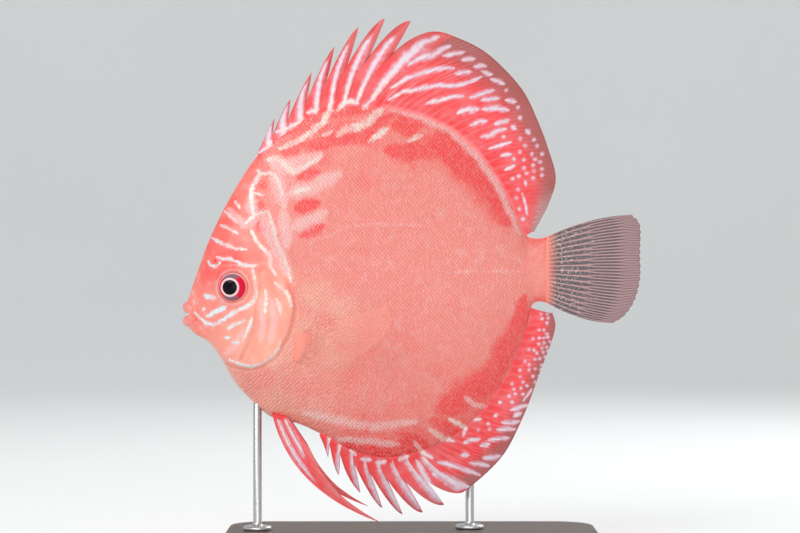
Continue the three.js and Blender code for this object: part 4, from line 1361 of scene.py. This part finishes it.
wet_grain = group(
    "wet_grain", {"Roughness": 0.4}, {"Roughness": "Float", "Height": "Float"}, mix_wet_grain
)


def bumped(n, height, strength, distance_mm):
    """A normal from a height."""
    node = n.add("Bump", Strength=strength, Distance=distance_mm * MM, Height=height)
    return node.outputs["Normal"]


def painted(n, ragged, pale=None):
    """The fish's paint fed by the masks of the mesh."""
    sockets = {key.title(): n.mask(key) for key in ("veil", "red", "peach", "cool")}
    return place_group(n, fish_paint, Ragged=ragged, Pale=pale or n.mask("pale"), **sockets)


def skin_look(n):
    """Bare skin: the fish's paint with ragged marks, on a wet grain."""
    paint = painted(n, 2.8)
    grain = place_group(n, wet_grain, Roughness=0.42)
    return {
        "Base Color": paint["Color"],
        "Roughness": grain["Roughness"],
        "Normal": bumped(n, grain["Height"], 0.5, 0.15),
    }


def scale_look(n):
    """Each scale has its own tone and a redder rim, and a painted sheen: a pale spot at the rear
    that stands in for light off the scale, brighter in a veil. Each scale also leans as a whole
    towards taking or refusing a mark."""
    tone, rim, rear = n.mask("tone"), n.mask("rim"), n.mask("rear")
    paint = painted(n, 1.5, pale=n.plus(n.mask("pale"), n.wander(tone, 0.5)))
    shade = n.blend(n.times(n.ramp(tone, 0.1, 1.0), 0.12), paint["Color"], VEIL)
    shade = n.blend(n.times(n.ramp(rim, 0.62, 1.0), 0.13), shade, RED)
    # painted sheen: a pale cream spot on each scale's rear, stronger in the veils, stands in for light
    # glancing off the scale
    painted_sheen = n.times(n.ramp(rear, 0.45, 0.8), n.ramp(rim, 0.95, 0.5))
    sheen_strength = n.plus(n.times(n.mask("veil"), 0.42), 0.13)
    shade = n.blend(n.times(painted_sheen, sheen_strength), shade, CREAM)
    grain = place_group(n, wet_grain, Roughness=0.38)
    return {
        "Base Color": shade,
        "Roughness": grain["Roughness"],
        "Normal": bumped(n, grain["Height"], 0.35, 0.08),
    }


MOIST = {"Coat_Weight": 0.3, "Coat_Roughness": 0.15, "Subsurface_Weight": 0.12, "Subsurface_Scale": 0.004}
skin_material = material("skin_paint", skin_look, **MOIST)
scale_material = material("scale_paint", scale_look, **MOIST)
lip_material = material("lip_paint", skin_look, **MOIST)

# %% Fin paint
FIN_RED = (0.86, 0.03, 0.035, 1)
FIN_PINK = (0.8, 0.2, 0.22, 1)
FIN_EDGE = (0.26, 0.06, 0.045, 1)
STREAK_CORE = (0.76, 0.66, 0.75, 1)


def fin_look(n):
    """Red membrane with paler rays, cream to lavender streaks, and a thinner, darker rim."""
    t, ray = n.mask("t"), n.mask("ray")
    fine = n.noise(620, 5)
    colour = n.blend(n.times(n.ramp(n.noise(160, 3), 0.4, 0.7), 0.45), FIN_RED, FIN_PINK)
    colour = n.blend(n.times(n.ramp(t, 0.56, 0.92), n.mask("dull")), colour, FIN_EDGE)
    colour = n.blend(n.times(ray, 0.3), colour, FIN_PINK)
    colour = n.blend(n.times(n.mask("veil"), 0.3), colour, VEIL)
    ragged = n.plus(n.mask("pale"), n.wander(fine, 1.3))
    ragged = n.less(ragged, n.times(ray, 0.22))
    mark = n.times(n.ramp(ragged, -0.35, 0.6), 0.95)
    core = n.blend(n.ramp(t, 0.1, 0.45), CREAM, STREAK_CORE)
    tint = n.blend(n.ramp(ragged, 0.2, 0.95), LAVENDER, core)
    colour = n.blend(mark, colour, tint)
    clear = n.times(n.mask("clear"), n.less(1.0, n.times(ray, 0.6)))
    solid = n.less(1.0, n.times(clear, 0.62))
    thin = n.less(solid, n.times(n.ramp(t, 0.5, 1.0), 0.12))
    alpha = n.math("MAXIMUM", thin, n.times(mark, 0.9))
    grain = place_group(n, wet_grain, Roughness=0.38)
    return {
        "Base Color": colour,
        "Alpha": alpha,
        "Roughness": grain["Roughness"],
        "Normal": bumped(n, grain["Height"], 0.4, 0.1),
    }


SMOKE, TAIL_RAY = (0.11, 0.08, 0.09, 1), (0.5, 0.3, 0.31, 1)
FLESH_ORANGE = (0.95, 0.3, 0.23, 1)


def clear_fin_look(n, membrane, rays, thin, firm):
    """A see-through membrane with pale specks between firmer rays, fleshy at its root. thin
    is how solid the membrane is, and firm is how much a ray adds."""
    t, ray, base = n.mask("t"), n.mask("ray"), n.mask("base")
    colour = n.blend(n.ramp(ray, 0.1, 0.7), membrane, rays)
    sparkle = n.times(n.ramp(n.noise(1400, 2), 0.56, 0.68), n.ramp(t, 0.75, 0.1))
    speck = n.times(sparkle, 0.8)
    colour = n.blend(speck, colour, CREAM)
    colour = n.blend(base, colour, FLESH_ORANGE)
    alpha = n.plus(thin, n.times(n.ramp(ray, 0.05, 0.8), firm))
    alpha = n.math("MAXIMUM", alpha, speck)
    alpha = n.math("MAXIMUM", alpha, base, clamp=True)
    grain = place_group(n, wet_grain, Roughness=0.35)
    return {"Base Color": colour, "Alpha": alpha, "Roughness": grain["Roughness"]}


fin_material = material("fin_paint", fin_look, Coat_Weight=0.25, Coat_Roughness=0.2)
BREAST_CLEAR, BREAST_RAY = (0.95, 0.42, 0.34, 1), (0.93, 0.36, 0.3, 1)
SOFT_SHINE = {"Specular_IOR_Level": 0.2}
tail_material = material(
    "tail_membrane", lambda n: clear_fin_look(n, SMOKE, TAIL_RAY, 0.68, 0.28), **SOFT_SHINE
)
breast_material = material(
    "breast_membrane",
    lambda n: clear_fin_look(n, BREAST_CLEAR, BREAST_RAY, 0.05, 0.24),
    **SOFT_SHINE,
)

# %% Eyes, wood and steel
PUPIL = (0.004, 0.003, 0.006, 1)
IRIS_RED = (0.85, 0.012, 0.05, 1)
IRIS_MAUVE = (0.3, 0.16, 0.22, 1)
IRIS_DARK = (0.05, 0.005, 0.01, 1)
RING_PINK, RIM_PINK = (0.85, 0.6, 0.6, 1), (0.9, 0.5, 0.5, 1)
PUPIL_RADIUS, RING_RADIUS = 2.6, 3.25


def eye_look(n):
    """Rings by distance: pupil, pale ring, a cloudy iris that is red level with the pupil
    and mauve above and below it, and a pale edge."""
    away, level, edge = n.mask("away"), n.mask("level"), n.mask("edge")
    iris = n.blend(n.ramp(level, 0.15, 0.6), IRIS_MAUVE, IRIS_RED)
    iris = n.blend(n.times(n.noise(900, 4), 0.35), iris, IRIS_DARK)
    colour = n.blend(n.ramp(away, RING_RADIUS - 0.15, RING_RADIUS + 0.25), RING_PINK, iris)
    colour = n.blend(n.ramp(away, PUPIL_RADIUS - 0.1, PUPIL_RADIUS + 0.08), PUPIL, colour)
    rim = n.ramp(edge, EYE_RADIUS - 0.75, EYE_RADIUS - 0.35)
    return {"Base Color": n.blend(rim, colour, RIM_PINK)}


EYE_GLOSS = {"Roughness": 0.25, "Coat_Weight": 0.15, "Coat_Roughness": 0.03, "Specular_IOR_Level": 0.03}
eye_material = material("eye_paint", eye_look, **EYE_GLOSS)
WOOD_DARK, WOOD_PALE = (0.035, 0.018, 0.01, 1), (0.12, 0.06, 0.032, 1)
WOOD_PORE = (0.02, 0.01, 0.006, 1)
STEEL_DARK, STEEL_PALE = (0.5, 0.5, 0.51, 1), (0.7, 0.7, 0.7, 1)


def wood_look(n):
    """Dark wood: long bands, fine pores, and a sheen that changes with the bands."""
    bands = n.noise(14, 6, (1.2, 16, 16))
    pores = n.noise(60, 4, (2.5, 60, 60))
    colour = n.blend(n.ramp(bands, 0.35, 0.65), WOOD_DARK, WOOD_PALE)
    colour = n.blend(n.times(n.ramp(pores, 0.55, 0.7), 0.6), colour, WOOD_PORE)
    rough = n.plus(0.34, n.times(bands, 0.2))
    return {"Base Color": colour, "Roughness": rough, "Normal": bumped(n, pores, 0.25, 0.15)}


def steel_look(n):
    """Satin steel: fine rings round the rod from the polishing cloth."""
    rings = n.noise(300, 3, (1, 1, 14))
    rough = n.plus(0.2, n.times(rings, 0.22))
    colour = n.blend(rings, STEEL_DARK, STEEL_PALE)
    return {"Base Color": colour, "Roughness": rough, "Normal": bumped(n, rings, 0.1, 0.05)}


wood_material = material("stand_wood_oiled", wood_look, Coat_Weight=0.15, Coat_Roughness=0.3)
steel_material = material("stand_steel_satin", steel_look, Metallic=1.0)

LOOKS = {
    skin_material: ["skin"],
    scale_material: [name for name in PIECES if name.startswith("scales_")],
    lip_material: ["upper_lip", "lower_lip"],
    fin_material: ["dorsal_fin", "anal_fin", "pelvic_fin_left", "pelvic_fin_right"],
    tail_material: ["tail_fin"],
    breast_material: ["pectoral_fin_left", "pectoral_fin_right"],
    eye_material: ["eye_left", "eye_right"],
    wood_material: ["stand_base"],
    steel_material: ["stand_rod_front", "stand_rod_rear"],
}
for look, names in LOOKS.items():
    for name in names:
        PIECES[name].data.materials.append(look)
print(len(PIECES), "pieces painted with", len(LOOKS), "materials")

# %% [markdown]
# ## Stage, light and camera
#
# The photograph looks straight at the fish's left side. A long lens from nearly a metre away
# keeps that flat, level view. A flat sheet behind would do for one picture, but it would hide
# the fish from a camera behind it. So the floor is round, glows faintly like a light tent, and
# turns up into a wall in one curve, so that no hard horizon cuts the picture from any side.

# %% Stage
STAGE = {"flat": 1.25, "bend": 0.6, "height": 2.4, "glow": 0.28, "hub": 0.01}
STAGE_STEPS, STAGE_SIDES = 24, 96
PAPER_DARK, PAPER_PALE = (0.66, 0.67, 0.67, 1), (0.7, 0.71, 0.71, 1)


def stage_sheet():
    """A round floor that turns up into a wall along a quarter circle, wider than the way of
    the camera round the fish."""
    flat, bend = STAGE["flat"], STAGE["bend"]
    turn = np.linspace(0, np.pi / 2, STAGE_STEPS)
    rise = np.column_stack([flat + bend * np.sin(turn), bend * (1 - np.cos(turn))])
    profile = np.vstack([[STAGE["hub"], 0], rise, [flat + bend, STAGE["height"]]])
    way = np.linspace(0, 2 * np.pi, STAGE_SIDES, endpoint=False)
    radius, height = profile[:, :1], np.broadcast_to(profile[:, 1:], (len(profile), len(way)))
    points = np.stack([radius * np.cos(way), radius * np.sin(way), height], axis=-1).reshape(-1, 3)
    hub = list(range(STAGE_SIDES))[::-1]
    faces = grid_faces(len(profile), STAGE_SIDES)[:, ::-1].tolist()
    mesh = bpy.data.meshes.new("stage_floor")
    mesh.from_pydata(points.tolist(), [], [*faces, hub])
    mesh.polygons.foreach_set("use_smooth", np.ones(len(mesh.polygons), bool))
    floor = bpy.data.objects.new("stage_floor", mesh)
    bpy.context.scene.collection.objects.link(floor)
    return floor


def stage_look(n):
    """Pale grey paper, a little uneven, that glows in its own colour."""
    tone = n.blend(n.noise(3, 2), PAPER_DARK, PAPER_PALE)
    return {"Base Color": tone, "Emission Color": tone}


floor = stage_sheet()
paper = material("stage_paper", stage_look, Roughness=0.85, Emission_Strength=STAGE["glow"])
floor.data.materials.append(paper)


# %% Lamps
def lamp(name, place, aim, size, watts, tint=(1, 1, 1)):
    """A square soft lamp that points at a spot."""
    data = bpy.data.lights.new(name, "AREA")
    data.size, data.energy, data.color = size, watts, tint
    light = bpy.data.objects.new(name, data)
    light.visible_camera = False
    light.location = place
    direction = mathutils.Vector(aim) - mathutils.Vector(place)
    light.rotation_euler = direction.to_track_quat("-Z", "Y").to_euler()
    bpy.context.scene.collection.objects.link(light)


AIM = (0, 0, 0.1)
SKY_COLOUR, SKY_STRENGTH = (0.9, 0.93, 1, 1), 0.2
lamp("key", (-0.55, -0.85, 0.85), AIM, 0.6, 6.4, (1, 0.98, 0.95))
lamp("fill", (0.05, -1.0, 0.05), AIM, 0.7, 3.2, (0.97, 0.98, 1))
lamp("top", (0.1, 0.15, 1.1), AIM, 0.7, 4)
lamp("rim", (0.5, 0.6, 0.6), AIM, 0.4, 3)
world = bpy.data.worlds.new("studio")
world.use_nodes = True
sky = world.node_tree.nodes["Background"].inputs
sky["Color"].default_value, sky["Strength"].default_value = SKY_COLOUR, SKY_STRENGTH
bpy.context.scene.world = world
bpy.context.scene.view_settings.view_transform = "Standard"

# %% Camera
CAMERA_DISTANCE = 0.9
SENSOR = 36
PHOTO_WIDTH, PHOTO_HEIGHT = 800, 533
FRAME_WIDTH = PHOTO_WIDTH * MM_PER_PIXEL * MM
FRAME_MIDDLE = photo([(PHOTO_WIDTH / 2, PHOTO_HEIGHT / 2)])[0] * MM
data = bpy.data.cameras.new("camera")
data.sensor_width = SENSOR
data.lens = SENSOR * CAMERA_DISTANCE / FRAME_WIDTH
camera = bpy.data.objects.new("camera", data)
camera.location = (FRAME_MIDDLE[0], -CAMERA_DISTANCE, FRAME_MIDDLE[1])
camera.rotation_euler = (np.pi / 2, 0, 0)
bpy.context.scene.collection.objects.link(camera)
bpy.context.scene.camera = camera
print("a lens of", round(data.lens, 1), "mm frames", round(FRAME_WIDTH / MM), "mm of the fish")
